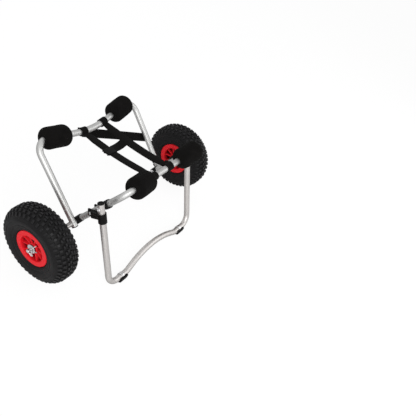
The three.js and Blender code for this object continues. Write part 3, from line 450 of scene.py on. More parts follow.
def as_object(name, vertices, faces, material, limit=35, uvs=None):
    """A mesh in an object. uvs gives each corner of each face its place on the map named strap."""
    mesh = bpy.data.meshes.new(name)
    mesh.from_pydata([tuple(v) for v in vertices], [], faces)
    if uvs:
        layer = mesh.uv_layers.new(name="strap")
        for corner, uv in zip(layer.data, uvs):
            corner.uv = uv
    mesh.materials.append(material)
    shaded(mesh, limit)
    return linked(name, mesh)


def spun(name, profile, steps, material, limit=35, uvs=None):
    """A closed profile of (radius, x) pairs turned about the X axis."""
    vertices, faces = [], []
    count = len(profile)
    for step in range(steps):
        angle, after = 2 * pi * step / steps, (step + 1) % steps
        vertices += [(x, radius * sin(angle), radius * cos(angle)) for radius, x in profile]
        for i in range(count):
            j = (i + 1) % count
            faces.append((step * count + i, step * count + j, after * count + j, after * count + i))
    return as_object(name, vertices, faces, material, limit, uvs)


def rounded(corners, radius):
    """Rounds every corner of a closed outline of (radius, x) pairs."""
    points = []
    total = len(corners)
    for i, corner in enumerate(corners):
        here = Vector(corner)
        before = Vector(corners[i - 1]) - here
        after = Vector(corners[(i + 1) % total]) - here
        cut = min(radius, before.length * CUT_SHARE, after.length * CUT_SHARE)
        start, end = here + before.normalized() * cut, here + after.normalized() * cut
        for k in range(CORNER_STEPS + 1):
            t = k / CORNER_STEPS
            points.append(tuple((1 - t) ** 2 * start + 2 * t * (1 - t) * here + t * t * end))
    return points


def both_sides(half):
    """A half outline on +x and its mirror image, joined into one closed outline."""
    return half + [(radius, -x) for radius, x in reversed(half)]


def plain(obj, name):
    """The object with its modifiers worked out, as a plain mesh under the same name."""
    depsgraph = bpy.context.evaluated_depsgraph_get()
    mesh = bpy.data.meshes.new_from_object(obj.evaluated_get(depsgraph), depsgraph=depsgraph)
    mesh.name = name
    bpy.data.objects.remove(obj)
    return linked(name, mesh)


def eased(obj, name, width, limit=35):
    """The object with a small bevel along its sharp edges."""
    edge = obj.modifiers.new("soft_edges", "BEVEL")
    edge.width = width
    edge.segments = 2
    edge.limit_method = "ANGLE"
    edge.angle_limit = radians(limit)
    return plain(obj, name)


def moved(obj, matrix):
    obj.data.transform(matrix)
    obj.data.update()
    return obj


print("mesh helpers ready")

# %% [markdown]
# ## The bent tubes
# All three frames are one kind of thing: round tube bent to a route. A Geometry Nodes tree sweeps a
# circle along any route, with its radius and number of sides as named inputs, and notes around and
# run for the finish. The routes are straight lines joined by arcs, worked out from the corners.

# %% Helpers for geometry trees


def geometry_tree(name, inputs):
    shape = {"Geometry": "Geometry"}
    return new_group(name, "GeometryNodeTree", {**shape, **inputs, "Material": "Material"}, shape)


def close_tree(tree, given, end, last):
    """Every tree ends the same way: real geometry, then its material."""
    real = add(tree, "GeometryNodeRealizeInstances", {"Geometry": last})
    paint = add(tree, "GeometryNodeSetMaterial", {
        "Geometry": real.outputs["Geometry"], "Material": given["Material"]})
    feed(tree, end, {"Geometry": paint.outputs["Geometry"]})
    print("tree:", tree.name)
    return tree


def worked_out(obj, tree, name, values):
    """Runs a tree on an object and returns the plain mesh that it makes."""
    modifier = obj.modifiers.new(tree.name, "NODES")
    modifier.node_group = tree
    for item in tree.interface.items_tree:
        if item.in_out == "INPUT" and item.name in values:
            modifier[item.identifier] = values[item.name]
    return plain(obj, name)


# %% A tree that sweeps a tube


def tube_tree():
    tree, given, end = geometry_tree("swept_tube", {"Radius": "Float", "Sides": "Int"})
    curve = add(tree, "GeometryNodeMeshToCurve", {"Mesh": given["Geometry"]})
    length = add(tree, "GeometryNodeSplineParameter").outputs["Length"]
    run = add(tree, "GeometryNodeStoreNamedAttribute", {
        "Name": "run", "Geometry": curve.outputs["Curve"], "Value": length}, data_type="FLOAT")
    circle = add(tree, "GeometryNodeCurvePrimitiveCircle", {
        "Radius": given["Radius"], "Resolution": given["Sides"]})
    position = add(tree, "GeometryNodeInputPosition").outputs["Position"]
    around = add(tree, "GeometryNodeStoreNamedAttribute", {
        "Name": "around", "Geometry": circle.outputs["Curve"], "Value": position}, data_type="FLOAT_VECTOR")
    sweep = add(tree, "GeometryNodeCurveToMesh", {
        "Curve": run.outputs["Geometry"], "Profile Curve": around.outputs["Geometry"], "Fill Caps": True})
    return close_tree(tree, given, end, sweep.outputs["Mesh"])


TUBE_TREE = tube_tree()


def swept(name, points, radius, material, sides=40):
    line = bpy.data.meshes.new(name + "_route")
    line.from_pydata([tuple(p) for p in points], [(i, i + 1) for i in range(len(points) - 1)], [])
    obj = worked_out(linked(name + "_route", line), TUBE_TREE, name, {
        "Radius": radius, "Sides": sides, "Material": material})
    shaded(obj.data, 50, merge=False)
    return obj


# %% A route of lines and arcs
ARC_STEP = radians(3)


def bent_route(corners):
    """Points along a flat route in XZ through (x, z, bend radius) corners."""
    places = [Vector((x, 0, z)) for x, z, _ in corners]
    points = [places[0]]
    for i in range(1, len(corners) - 1):
        incoming = (places[i] - places[i - 1]).normalized()
        outgoing = (places[i + 1] - places[i]).normalized()
        turn = incoming.angle(outgoing)
        radius = corners[i][2]
        axis = incoming.cross(outgoing).normalized()
        start = places[i] - incoming * radius * tan(turn / 2)
        centre = start + axis.cross(incoming) * radius
        steps = max(4, round(turn / ARC_STEP))
        for k in range(steps + 1):
            spoke = Matrix.Rotation(turn * k / steps, 3, axis) @ (start - centre)
            points.append(centre + spoke)
    points.append(places[-1])
    return points


print("arcs are cut every", round(ARC_STEP, 4), "radians")

# %% The routes of the three frames
CORNER, CRADLE_DROP, CRADLE_BEND = 0.040, 0.0428, 0.385
REAR_FOOT, FRONT_FOOT, KICK_TOP = -0.013, 0.0203, -0.016
BARS = {"rear": (REAR_HALF, 0.2756, REAR), "front": (FRONT_HALF, 0.2714, FRONT)}


def frame_route(end, foot):
    half, length, _ = BARS[end]
    return bent_route([(-half, foot, 0), (-half, length, CORNER), (0, length - CRADLE_DROP, CRADLE_BEND),
                       (half, length, CORNER), (half, foot, 0)])


WHEEL_RADIUS, BASE_HEIGHT = 0.13, 0.0158
KICK_LENGTH = (PIVOT_REACH * sin(FRONT_LEAN) + WHEEL_RADIUS - BASE_HEIGHT) / sin(KICK_ANGLE)
KICK_CORNER, ARCH_CORNER, ARCH_RISE, ARCH_INSET, ARCH_SHARE = 0.038, 0.05, 0.055, 0.0852, 0.8
ARCH_OUTER = REAR_HALF - ARCH_INSET
ARCH_BEND = ARCH_SHARE * hypot(ARCH_RISE, ARCH_OUTER) * ARCH_OUTER / ARCH_RISE
kick_half = [(-REAR_HALF, KICK_TOP, 0), (-REAR_HALF, KICK_LENGTH, KICK_CORNER),
             (-ARCH_OUTER, KICK_LENGTH, ARCH_CORNER)]
kick_route = bent_route(kick_half + [(0, KICK_LENGTH - ARCH_RISE, ARCH_BEND)]
                        + [(-x, z, bend) for x, z, bend in reversed(kick_half)])
print("kickstand reaches", round(KICK_LENGTH, 4), "m from its pivot")

# %% Sweep the three frames
for node, route, plane, body, material in (
        ("rear_frame_tube", frame_route("rear", REAR_FOOT), REAR, "rear_frame", SATIN),
        ("front_frame_tube", frame_route("front", FRONT_FOOT), FRONT, "front_frame", SATIN),
        ("kickstand_tube", kick_route, KICK, "kickstand", SATIN_WARM)):
    tube = moved(swept(node + "_dressed", route, TUBE, material), plane)
    hand_over(tube, body)

# %% [markdown]
# ## Foam pads
# Each pad is a fat roll of closed-cell foam pushed onto the tube, with well rounded ends. It is a
# turned form, so a lathe profile gives it, and a little uneven swelling keeps it from looking
# machined. The tube runs out through its ends.

# %% Make the four pads
PAD_RADIUS, PAD_LENGTH, PAD_START, PAD_EDGE = 0.035, 0.097, 0.028, 0.020
PAD_BORE, PAD_DISH, PAD_STEP, EDGE_STEPS = 0.0104, 0.002, 0.005, 10
SWELL, SWELL_SIZE = 0.0006, 0.03


def pad_profile():
    points = [(PAD_BORE, PAD_DISH)]
    for centre_x, first in ((PAD_EDGE, pi), (PAD_LENGTH - PAD_EDGE, pi / 2)):
        for k in range(EDGE_STEPS + 1):
            angle = first - pi / 2 * k / EDGE_STEPS
            points.append((PAD_RADIUS - PAD_EDGE + PAD_EDGE * sin(angle),
                           centre_x + PAD_EDGE * cos(angle)))
    points.append((PAD_BORE, PAD_LENGTH - PAD_DISH))
    dense = []
    for a, b in zip(points, points[1:]):
        cuts = max(1, int((Vector(b) - Vector(a)).length / PAD_STEP))
        dense += [tuple(Vector(a).lerp(Vector(b), k / cuts)) for k in range(cuts)]
    return dense + [points[-1]]


def swell(obj, seed):
    """Moves each point in or out a little along its normal, by smooth noise."""
    for vertex in obj.data.vertices:
        push = noise.noise(vertex.co / SWELL_SIZE + Vector((seed, seed, seed)))
        vertex.co += vertex.normal * SWELL * push


def pad_place(half, length, plane, side):
    inward = turned(pi if side > 0 else 0, "Z")
    tilt = turned(atan2(CRADLE_DROP, half), "Y")
    return plane @ shifted((side * half, 0, length)) @ inward @ tilt @ shifted((PAD_START, 0, 0))


for end, (half, length, plane) in BARS.items():
    for name, side in SIDES:
        pad = spun(f"foam_pad_{end}_{name}_dressed", pad_profile(), 64, FOAM, 60)
        swell(pad, side + len(end))
        moved(pad, pad_place(half, length, plane, side))
        hand_over(pad, f"{end}_frame")

# %% [markdown]
# ## Things that repeat round a wheel
# Tread lugs and rim spokes are the same small form set round a circle many times. One Geometry
# Nodes tree does both: it puts points on a circle about the X axis, turns an instance to face
# outwards at each, and makes them real. Count, radius, offset and phase are its named inputs.

# %% A tree that sets a form round a circle


def ring_tree():
    tree, given, end = geometry_tree("form_round_a_circle", {
        "Count": "Int", "Radius": "Float", "Offset": "Float", "Phase": "Float", "Form": "Object"})
    points = add(tree, "GeometryNodePoints", {"Count": given["Count"]})
    index = add(tree, "GeometryNodeInputIndex").outputs[0]
    share = maths(tree, "DIVIDE", maths(tree, "ADD", index, given["Phase"]), given["Count"])
    angle = maths(tree, "MULTIPLY", share, 2 * pi)
    inward = maths(tree, "MULTIPLY", given["Radius"], -1)
    place = add(tree, "ShaderNodeCombineXYZ", {
        "X": given["Offset"],
        "Y": maths(tree, "MULTIPLY", maths(tree, "SINE", angle), inward),
        "Z": maths(tree, "MULTIPLY", maths(tree, "COSINE", angle), given["Radius"])})
    put = add(tree, "GeometryNodeSetPosition", {"Geometry": points.outputs[0], "Position": place.outputs[0]})
    turn = add(tree, "ShaderNodeCombineXYZ", {"X": angle})
    form = add(tree, "GeometryNodeObjectInfo", {"Object": given["Form"], "As Instance": True})
    copies = add(tree, "GeometryNodeInstanceOnPoints", {
        "Points": put.outputs["Geometry"], "Instance": form.outputs["Geometry"], "Rotation": turn.outputs[0]})
    return close_tree(tree, given, end, copies.outputs["Instances"])


RING_TREE = ring_tree()


def ring_of(name, form, count, radius, offset, phase, material):
    holder = linked(name + "_holder", bpy.data.meshes.new(name + "_holder"))
    return worked_out(holder, RING_TREE, name, {
        "Count": count, "Radius": radius, "Offset": offset, "Phase": phase, "Form": form,
        "Material": material})


# %% Helpers that finish a wheel's pieces


def joined(name, pieces, material, limit=40):
    """Puts several meshes in one object, under one name."""
    mesh = bpy.data.meshes.new(name)
    with edited(mesh) as form:
        for piece in pieces:
            form.from_mesh(piece.data)
            bpy.data.objects.remove(piece)
    mesh.materials.append(material)
    shaded(mesh, limit, merge=False)
    return linked(name, mesh)


def note_shade(obj, rule):
    """Stores how much painted shade each point takes, from 0 to 1, by a rule of its distance from the
    wheel's middle plane and from the axle."""
    painted_shade = obj.data.attributes.new("painted_shade", "FLOAT", "POINT")
    for vertex, value in zip(obj.data.vertices, painted_shade.data):
        share = rule(abs(vertex.co.x), hypot(vertex.co.y, vertex.co.z))
        value.value = min(1, max(0, share))


# %% [markdown]
# ## Tyres
# A knobbly tyre is a round carcass with rubber lugs moulded on it. The crown has four rows of small
# blocks, and each shoulder has a row that leans outwards and a row of short bars under it. The
# carcass is turned from a profile, with the fine rings of its side walls, and the rows come from
# the ring tree, so one count makes the tread coarser or finer.

# %% Make a lug and the carcass
LUGS, TAPER, CHAMFER = 42, 0.82, 0.09


def lug(name, width, length, height, lean):
    """A tapered block with chamfered top edges. Its middle is at z = 0 and lean tips it about Y."""
    mesh = bpy.data.meshes.new(name)
    with edited(mesh) as form:
        bmesh.ops.create_cube(form, size=1)
        for vertex in form.verts:
            x, y, z = vertex.co
            share = TAPER if z > 0 else 1.0
            vertex.co = Vector((x * width * share, y * length * share, z * height))
        top = [edge for edge in form.edges if any(v.co.z > 0 for v in edge.verts)]
        bmesh.ops.bevel(form, geom=top, offset=min(width, length) * CHAMFER, segments=1, affect="EDGES")
        form.transform(turned(lean, "Y"))
    return linked(name, mesh)


CARCASS = [(0.0558, 0.0312), (0.0622, 0.0313), (0.0632, 0.0345), (0.0655, 0.0372), (0.0685, 0.0385),
           (0.0700, 0.0402), (0.0722, 0.0405), (0.0740, 0.0398), (0.0790, 0.0418), (0.0802, 0.0431),
           (0.0814, 0.0430), (0.0822, 0.0422), (0.0850, 0.0430), (0.0910, 0.0436), (0.0955, 0.0432),
           (0.0965, 0.0441), (0.0980, 0.0439), (0.0988, 0.0426), (0.1030, 0.0412), (0.1080, 0.0388),
           (0.1130, 0.0350), (0.1175, 0.0298), (0.1210, 0.0235), (0.1235, 0.0165), (0.1248, 0.0090),
           (0.1253, 0.0)]
INSIDE = [(0.1195, 0.0), (0.1180, 0.014), (0.1120, 0.026), (0.1020, 0.035), (0.0870, 0.039),
          (0.0720, 0.036), (0.0620, 0.027), (0.0559, 0.025)]
outer = CARCASS + [(r, -x) for r, x in CARCASS[-2::-1]]
inner = [(r, -x) for r, x in INSIDE[::-1]] + INSIDE[1:]
print("tyre profile points:", len(outer + inner), "lugs round:", LUGS)

# %% Say where the tyre takes painted shade
SKIN, GROOVE, SHOULDER_START, TREAD_START, WALL_SHADE = 0.0005, 0.004, 0.09, 0.1, 0.8


def crown_radius(x):
    """How far the carcass reaches from the axle at x from the wheel's middle plane."""
    shoulder = [(b, r) for r, b in CARCASS if r > SHOULDER_START]
    for (x1, r1), (x0, r0) in zip(shoulder, shoulder[1:]):
        if x0 <= x <= x1:
            return r0 + (r1 - r0) * (x - x0) / (x1 - x0)
    return 0.0


# Painted shade on the tyre: a fixed share all over the side wall, and in the tread full on the groove floor,
# fading to none on the lugs' tops.
def tread_shade(x, radius):
    if radius <= TREAD_START:
        return WALL_SHADE
    return 1 - (radius - crown_radius(x) - SKIN) / GROOVE


print("carcass reaches", crown_radius(0), "m on the crown")

# %% Put the tread on both tyres
# A form's name, width, length, height and lean, then its rows: radius, offset, phase and a step
# that staggers one row against the next.
TREAD = (
    ("crown_lug", 0.0068, 0.0108, 0.0092, 0.0, [(0.1249, 0.0045, 0.25, 0), (0.1247, 0.0127, 0.25, 0.18)]),
    ("middle_lug", 0.0105, 0.0098, 0.0084, 0.62, [(0.1214, 0.0232, -0.25, 0)]),
    ("shoulder_bar", 0.0140, 0.0082, 0.0060, 1.0, [(0.1138, 0.0338, 0.25, 0)]))


def tread_rows():
    """Every row of lugs, set round the right shoulder and mirrored to the left one."""
    rows = []
    for hand in (-1, 1):
        for *sizes, places in TREAD:
            form = lug(*sizes)
            for radius, offset, phase, step in places:
                rows.append(ring_of("tread_row", form, LUGS, radius, offset, phase * hand + step, TYRE))
                if hand < 0:
                    moved(rows[-1], Matrix.Scale(-1, 4, (1, 0, 0)))
                    rows[-1].data.flip_normals()
            bpy.data.objects.remove(form)
    return rows


for name, side in SIDES:
    carcass = spun("carcass", outer + inner, 176, TYRE)
    tyre = joined(f"tyre_{name}_dressed", [carcass, *tread_rows()], TYRE, 34)
    # Paints shade into the tread's grooves and over the side wall.
    note_shade(tyre, tread_shade)
    moved(tyre, shifted((side * WHEEL_PLANE, AXLE.y, AXLE.z)))
    hand_over(tyre, f"{name}_wheel")

# %% [markdown]
# ## Rims
# The wheel is moulded in red plastic. A broad rolled flange holds the tyre, and ten deep blades run
# from the hub to the barrel on a thin pierced plate, with pockets between them that are darkened
# with painted shade. The barrel and hub are turned, and one blade is made once and set round the
# hub by the ring tree.

# %% Make one spoke
WEBS, HUB_BORE, HUB_END, HUB_HALF = 10, 0.0104, 0.0165, 0.031
BLADE_OUTER, PLATE, BLADE, MOULD_EDGE = 0.0450, 0.002, 0.0015, 0.0006
WEB_NECK, WEB_FORK, WEB_TIP = 0.0245, 0.0240, 0.0035
STATIONS = [-0.028, -0.014, 0.014, 0.028]
BARREL = rounded(both_sides([
    (0.0440, 0.0345), (0.0455, 0.0362), (0.0600, 0.0362), (0.0615, 0.0342), (0.0612, 0.0316),
    (0.0556, 0.0314), (0.0556, 0.0200), (0.0500, 0.0150)]), 0.0022)
BARREL += [(0.0440, x) for x in STATIONS]
HUB = rounded(both_sides([
    (HUB_BORE, HUB_HALF), (HUB_END, HUB_HALF), (0.018, 0.028), (0.018, 0.014)]), 0.001)


def rim_web(name):
    """One spoke: a thin V of plate at mid-width, and a deep blade that runs out to both sides."""
    half = tan(pi / WEBS)
    left = [(-HUB_END * half, HUB_END), (-WEB_NECK * half, WEB_FORK), (-WEB_TIP, BLADE_OUTER)]
    outline = left + [(-y, z) for y, z in reversed(left)]
    vertices = [(x, y, z) for x in (-PLATE, PLATE) for y, z in outline]
    n = len(outline)
    faces = [tuple(range(n))[::-1], tuple(range(n, 2 * n))]
    faces += [(i, (i + 1) % n, n + (i + 1) % n, n + i) for i in range(n)]
    base = len(vertices)
    for inner_x, outer_x in zip(STATIONS, (-HUB_HALF, *STATIONS[1:3], HUB_HALF)):
        vertices += [(x, y, z) for x, z in ((inner_x, HUB_END), (outer_x, BLADE_OUTER))
                     for y in (-BLADE, BLADE)]
    faces += [(base + 1, base, base + 2, base + 3), (base + 12, base + 13, base + 15, base + 14)]
    for k in range(base, base + 12, 4):
        faces += [(k, k + 4, k + 6, k + 2), (k + 1, k + 3, k + 7, k + 5), (k, k + 1, k + 5, k + 4),
                  (k + 2, k + 6, k + 7, k + 3)]
    return eased(as_object(name, vertices, faces, RED), name, MOULD_EDGE, 30)


print("spokes round a rim:", WEBS)

# %% Make the rims
POCKET_INNER, POCKET_OUTER, POCKET_FADE = 0.0172, 0.0455, 0.016


# Painted shade in the pockets between the blades: full near the wheel's middle plane, fading to none at the
# hub's faces.
def pocket_shade(x, radius):
    return (HUB_HALF - x) / POCKET_FADE if POCKET_INNER < radius < POCKET_OUTER else 0.0


for name, side in SIDES:
    web = rim_web("web")
    parts = [spun("barrel", BARREL, 96, RED), spun("hub", HUB, 64, RED),
             ring_of("webs", web, WEBS, 0.0, 0.0, 0.0, RED)]
    bpy.data.objects.remove(web)
    rim = joined(f"rim_{name}_dressed", parts, RED)
    # Paints shade into the pockets between the blades.
    note_shade(rim, pocket_shade)
    moved(rim, shifted((side * WHEEL_PLANE, AXLE.y, AXLE.z)) @ turned(pi if side < 0 else 0, "Z"))
    hand_over(rim, f"{name}_wheel")

# %% [markdown]
# ## Straps
# The webbing is flat band, 34 mm wide, gathered to 25 mm where a long strap meets its loop. Each
# strap is a ribbon along a sagging line, with its width turned to lie flat on the bar at each end,
# and a UV map in metres for the weave. Long straps cross the fold.

# %% Find places on the top bars
STRAP_WIDTH, LOOP_WIDTH, STRAP_THICK = 0.034, 0.025, 0.0024
LOOP_BORE, LOOP_THICK, NUDGE = 0.01085, 0.0031, 0.001
LOOP_SIDES, LOOP_WALL = 12, 0.0026
LOOP_REACH = (TUBE + GAP) / cos(pi / LOOP_SIDES) + GAP + LOOP_WALL + GAP
LOOPS = {"rear": {"left": -0.184 * REAR_HALF, "right": 0.237 * REAR_HALF},
         "front": {"left": -0.265 * FRONT_HALF, "right": 0.153 * FRONT_HALF}}


def bar_height(end, x):
    """Where a top bar's axis is at x, in its own plane: straight arms that meet in one wide arc."""
    half, length, _ = BARS[end]
    slope = CRADLE_DROP / half
    if abs(x) > CRADLE_BEND * sin(atan(slope)):
        return length - (half - abs(x)) * slope
    top = CRADLE_BEND / cos(atan(slope))
    return length - CRADLE_DROP + top - sqrt(CRADLE_BEND ** 2 - x ** 2)


def bar_point(end, x):
    return BARS[end][2] @ Vector((x, 0, bar_height(end, x)))


def bar_heading(end, x):
    return (bar_point(end, x + NUDGE) - bar_point(end, x - NUDGE)).normalized()


print("loop reach", round(LOOP_REACH, 4))

# %% Helpers for the webbing
GATHER = 6


def sagging(start, end, back_start, back_end, sag, steps=36):
    """A line that hangs by sag and stops short of start and end, by back_start and back_end."""
    heading = (end - start).normalized()
    first, last = start + heading * back_start, end - heading * back_end
    points = []
    for k in range(steps + 1):
        t = k / steps
        point = first.lerp(last, t)
        point.z -= sag * 4 * t * (1 - t)
        points.append(point)
    return points


def ribbon(name, points, across_first, across_last, end_width=STRAP_WIDTH):
    """A flat band along points with rounded edges and a UV map in metres."""
    section = [(hand, pi / 2 - pi * k / 4) for hand in (1, -1) for k in range(5)]
    vertices, uvs, run = [], [], 0.0
    last, n, edge = len(points) - 1, len(section), STRAP_THICK / 2
    for i, point in enumerate(points):
        if i:
            run += (point - points[i - 1]).length
        ahead = (points[min(i + 1, last)] - points[max(i - 1, 0)]).normalized()
        wide = across_first.lerp(across_last, i / last).normalized()
        lift = wide.cross(ahead).normalized()
        full = min(1, GATHER * i / last, GATHER * (1 - i / last))
        flat = (end_width + (STRAP_WIDTH - end_width) * full) / 2 - edge
        for hand, angle in section:
            w = hand * (flat + edge * cos(angle))
            vertices.append(point + wide * w + lift * (hand * edge * sin(angle)))
            uvs.append((w, run))
    faces = [(i * n + k, i * n + (k + 1) % n, (i + 1) * n + (k + 1) % n, (i + 1) * n + k)
             for i in range(last) for k in range(n)]
    faces += [tuple(range(n))[::-1], tuple(last * n + k for k in range(n))]
    return as_object(name, vertices, faces, WEBBING, 60, [uvs[i] for face in faces for i in face])


def on_line(points, share):
    place = share * (len(points) - 1)
    i = min(int(place), len(points) - 2)
    return points[i].lerp(points[i + 1], place - i)


def cross_fold(obj):
    """Bakes the object's place into its mesh."""
    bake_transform(obj)


print("strap helpers ready")

# %% Make the long straps
LONG_SAG = 0.009
lines = {}
for name, _ in SIDES:
    rear_x, front_x = LOOPS["rear"][name], LOOPS["front"][name]
    line = sagging(bar_point("rear", rear_x), bar_point("front", front_x), LOOP_REACH, LOOP_REACH,
                   LONG_SAG)
    strap = ribbon(f"strap_long_{name}_dressed", line, bar_heading("rear", rear_x),
                   bar_heading("front", front_x), LOOP_WIDTH)
    hand_over(strap)
    cross_fold(strap)
    lines[name] = line

# %% Make the short strap and the brace
SHORT_SHARES, SHORT_BACKS, SHORT_SAG, BRACE_PAST = (0.38, 0.40), (0.0176, 0.0205), 0.0045, 0.016
right_line, left_line = lines["right"], lines["left"]
short_line = sagging(on_line(right_line, SHORT_SHARES[0]), on_line(left_line, SHORT_SHARES[1]),
                     *SHORT_BACKS, SHORT_SAG, 18)
short = ribbon("strap_short_dressed", short_line, (right_line[-1] - right_line[0]).normalized(),
               (left_line[-1] - left_line[0]).normalized())
hand_over(short)
cross_fold(short)

behind = (REAR.to_3x3() @ Vector((0, 1, 0))).normalized()
up_leg = (REAR.to_3x3() @ Vector((0, 0, 1))).normalized()
brace_start = bar_point("rear", LOOPS["rear"]["left"]) + behind * (LOOP_REACH + GAP + STRAP_THICK / 2)
brace_end = REAR @ Vector((REAR_HALF, 0, SCREW_REACH)) + behind * (TUBE + GAP + STRAP_THICK / 2)
brace_line = sagging(brace_start, brace_end, 0, -BRACE_PAST, 0, 24)
brace = ribbon("strap_brace_dressed", brace_line, up_leg, up_leg)
hand_over(brace, "rear_frame")

# %% [markdown]
# ### Loops on the bars
# Each strap ends in a loop sewn round the bar. The loop is a band, turned as a ring and then set
# square to the bar, with a UV map so that the weave runs round it.

# %% Make the loops


def loop_band(name, end, x):
    steps, across, edge = 48, 6, LOOP_BORE + LOOP_THICK
    outline = [(LOOP_BORE, -LOOP_WIDTH / 2)]
    outline += [(edge, LOOP_WIDTH * (k / across - 0.5)) for k in range(across + 1)]
    outline += [(LOOP_BORE, LOOP_WIDTH / 2)]
    arc = LOOP_BORE * 2 * pi / steps
    corners = []
    for step in range(steps):
        for (_, here), (_, there) in zip(outline, outline[1:] + outline[:1]):
            corners += [(here, step * arc), (there, step * arc), (there, (step + 1) * arc),
                        (here, (step + 1) * arc)]
    rise = bar_height(end, x + NUDGE) - bar_height(end, x - NUDGE)
    tilt = turned(-atan2(rise, 2 * NUDGE), "Y")
    place = BARS[end][2] @ shifted((x, 0, bar_height(end, x)))
    return moved(spun(name, outline, steps, WEBBING, 50, corners), place @ tilt)


for end, places in LOOPS.items():
    for name, x in places.items():
        band = loop_band(f"strap_loop_{end}_{name}_dressed", end, x)
        hand_over(band, f"{end}_frame")

# %% [markdown]
# ## Moulded fittings
# The black fittings on the front legs are moulded nylon: an eye on the axle, the collar at the
# kickstand's pivot, and the knuckle whose fork clasps the leg. Their solids already have the right
# form, so each is copied, its triangles merged, and its edges softened with a bevel. The slide on
# the short strap is made in the same way.

# %% Dress the fittings


def eased_copy(node, material, body, width):
    """Dresses a node in a copy of its solid, with its triangles merged and its edges softened."""
    obj = linked(node + "_dressed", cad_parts[node].data.copy())
    with edited(obj.data) as form:
        bmesh.ops.remove_doubles(form, verts=form.verts, dist=MERGE)
        bmesh.ops.dissolve_limit(form, angle_limit=radians(2), verts=form.verts, edges=form.edges)
    obj = eased(obj, node + "_dressed", width)
    obj.data.materials.clear()
    obj.data.materials.append(material)
    shaded(obj.data, 50)
    hand_over(obj, body)
    return obj


for stem, body, width in (("front_leg_eye", "front_frame", 0.0010),
                          ("kickstand_bracket", "front_frame", 0.0010),
                          ("kickstand_knuckle", "kickstand", 0.0009)):
    for name, _ in SIDES:
        eased_copy(f"{stem}_{name}", MOULDED, body, width)
cross_fold(eased_copy("strap_adjuster", MOULDED, None, 0.0006))

# %% [markdown]
# ## Turned pieces
# Bolts, pins, spacers, washers and plugs come off a lathe, so a profile of radius and place gives
# each of them. Heads are domed with a socket, edges are eased by less than a millimetre, and each
# nut is the same kind of form turned in six steps.

# %% Profiles and a helper that seats them
PAST_SEAT, NUT_HEIGHT, NUT_RADIUS, BOLT_STEPS = 0.003, 0.004, 0.006, 32


def bolt_profile(tip, face):
    """A shank from tip to the head's seat at face, and a domed head with a socket."""
    head = [(0.0058, 0.0), (0.0060, 0.0008), (0.0057, 0.0019), (0.0050, 0.0030), (0.0040, 0.0038),
            (0.0030, 0.0040), (0.0026, 0.0037), (0.0025, 0.0018), (0.0, 0.0018)]
    return [(0.0, tip), (0.0026, tip), (0.0030, tip + 0.0004), (0.0030, face)] + [
        (radius, face + rise) for radius, rise in head]


def lathe(profile, steps=48, ease=0.0004):
    return spun("turned", rounded(profile, ease) if ease else profile, steps, ZINC)


def hexagon(end, height, radius, ease):
    return lathe([(0.0, end - height), (radius, end - height), (radius, end), (0.0, end)], 6, ease)


def seated(node, parts, matrix, body, material=ZINC):
    """Joins the parts of one piece, turns it outward on its side and hands it to its body."""
    turn = turned(pi if node.endswith("_left") else 0, "Z")
    piece = moved(joined(node + "_dressed", parts, material, 30), matrix @ turn)
    hand_over(piece, body)


def fastened(node, tip, face, matrix, body):
    """A bolt from its nut, whose outer face is at tip, to its head on face."""
    bolt = lathe(bolt_profile(tip - PAST_SEAT, face), BOLT_STEPS, 0)
    seated(node, [bolt, hexagon(tip, NUT_HEIGHT, NUT_RADIUS, 0.0005)], matrix, body)


print("profiles ready")

# %% Fasten the frames
KNUCKLE_REACH = 0.094
WEDGE = pi - KICK_ANGLE - FRONT_LEAN
FORK_REACH = PIVOT_REACH - KNUCKLE_REACH
FORK = Vector((0, -FORK_REACH * sin(WEDGE), FORK_REACH * cos(WEDGE)))
COLLAR, PLUNGER_HEAD, SCREW_TIP = 0.014, 0.006, 0.0049
ear = FRONT_HALF + TUBE + GAP


def fasten_frames(name):
    fastened(f"leg_screw_{name}", FRONT_HALF - TUBE - GAP, ear,
             FRONT @ shifted((0, 0, SCREW_REACH)), "front_frame")
    fastened(f"pivot_bolt_{name}", FRONT_HALF - COLLAR - GAP, REAR_HALF + TUBE + GAP,
             FRONT @ shifted((0, 0, PIVOT_REACH)), "front_frame")
    plunger = lathe(bolt_profile(ear + GAP, ear + PLUNGER_HEAD + GAP), BOLT_STEPS, 0)
    seated(f"fork_plunger_{name}", [plunger], KICK @ shifted(FORK), "kickstand")


print("fork stands", round(FORK.length, 4), "m from the pivot")

# %% Fill the axle
AT_AXLE = shifted(AXLE)
PIN, PIN_HEAD, PIN_TIP, PIN_CHAMFER, EYE_HALF = 0.006, 0.011, 0.014, 0.0012, 0.0115
BORE, SLEEVE, WASHER_RADIUS, WASHER = 0.0066, 0.0085, 0.015, 0.0018
BUSH_FACE, BUSH_SEAT, BUSH_END, BUSH_RADIUS, FLANGE_RADIUS = 0.0333, 0.0313, 0.007, 0.010, 0.014


def tube_profile(inner, outer, start, end):
    return [(inner, start), (outer, start), (outer, end), (inner, end)]


head = FRONT_HALF - EYE_HALF - GAP
sleeve_start, sleeve_end = REAR_HALF + TUBE + GAP, WHEEL_PLANE - BUSH_FACE - GAP
washer_start = WHEEL_PLANE + BUSH_FACE + GAP
tip = washer_start + WASHER + PIN_TIP
bush = [(BORE, BUSH_END), (BUSH_RADIUS, BUSH_END), (BUSH_RADIUS, BUSH_SEAT), (FLANGE_RADIUS, BUSH_SEAT),
        (FLANGE_RADIUS, BUSH_FACE), (BORE, BUSH_FACE)]


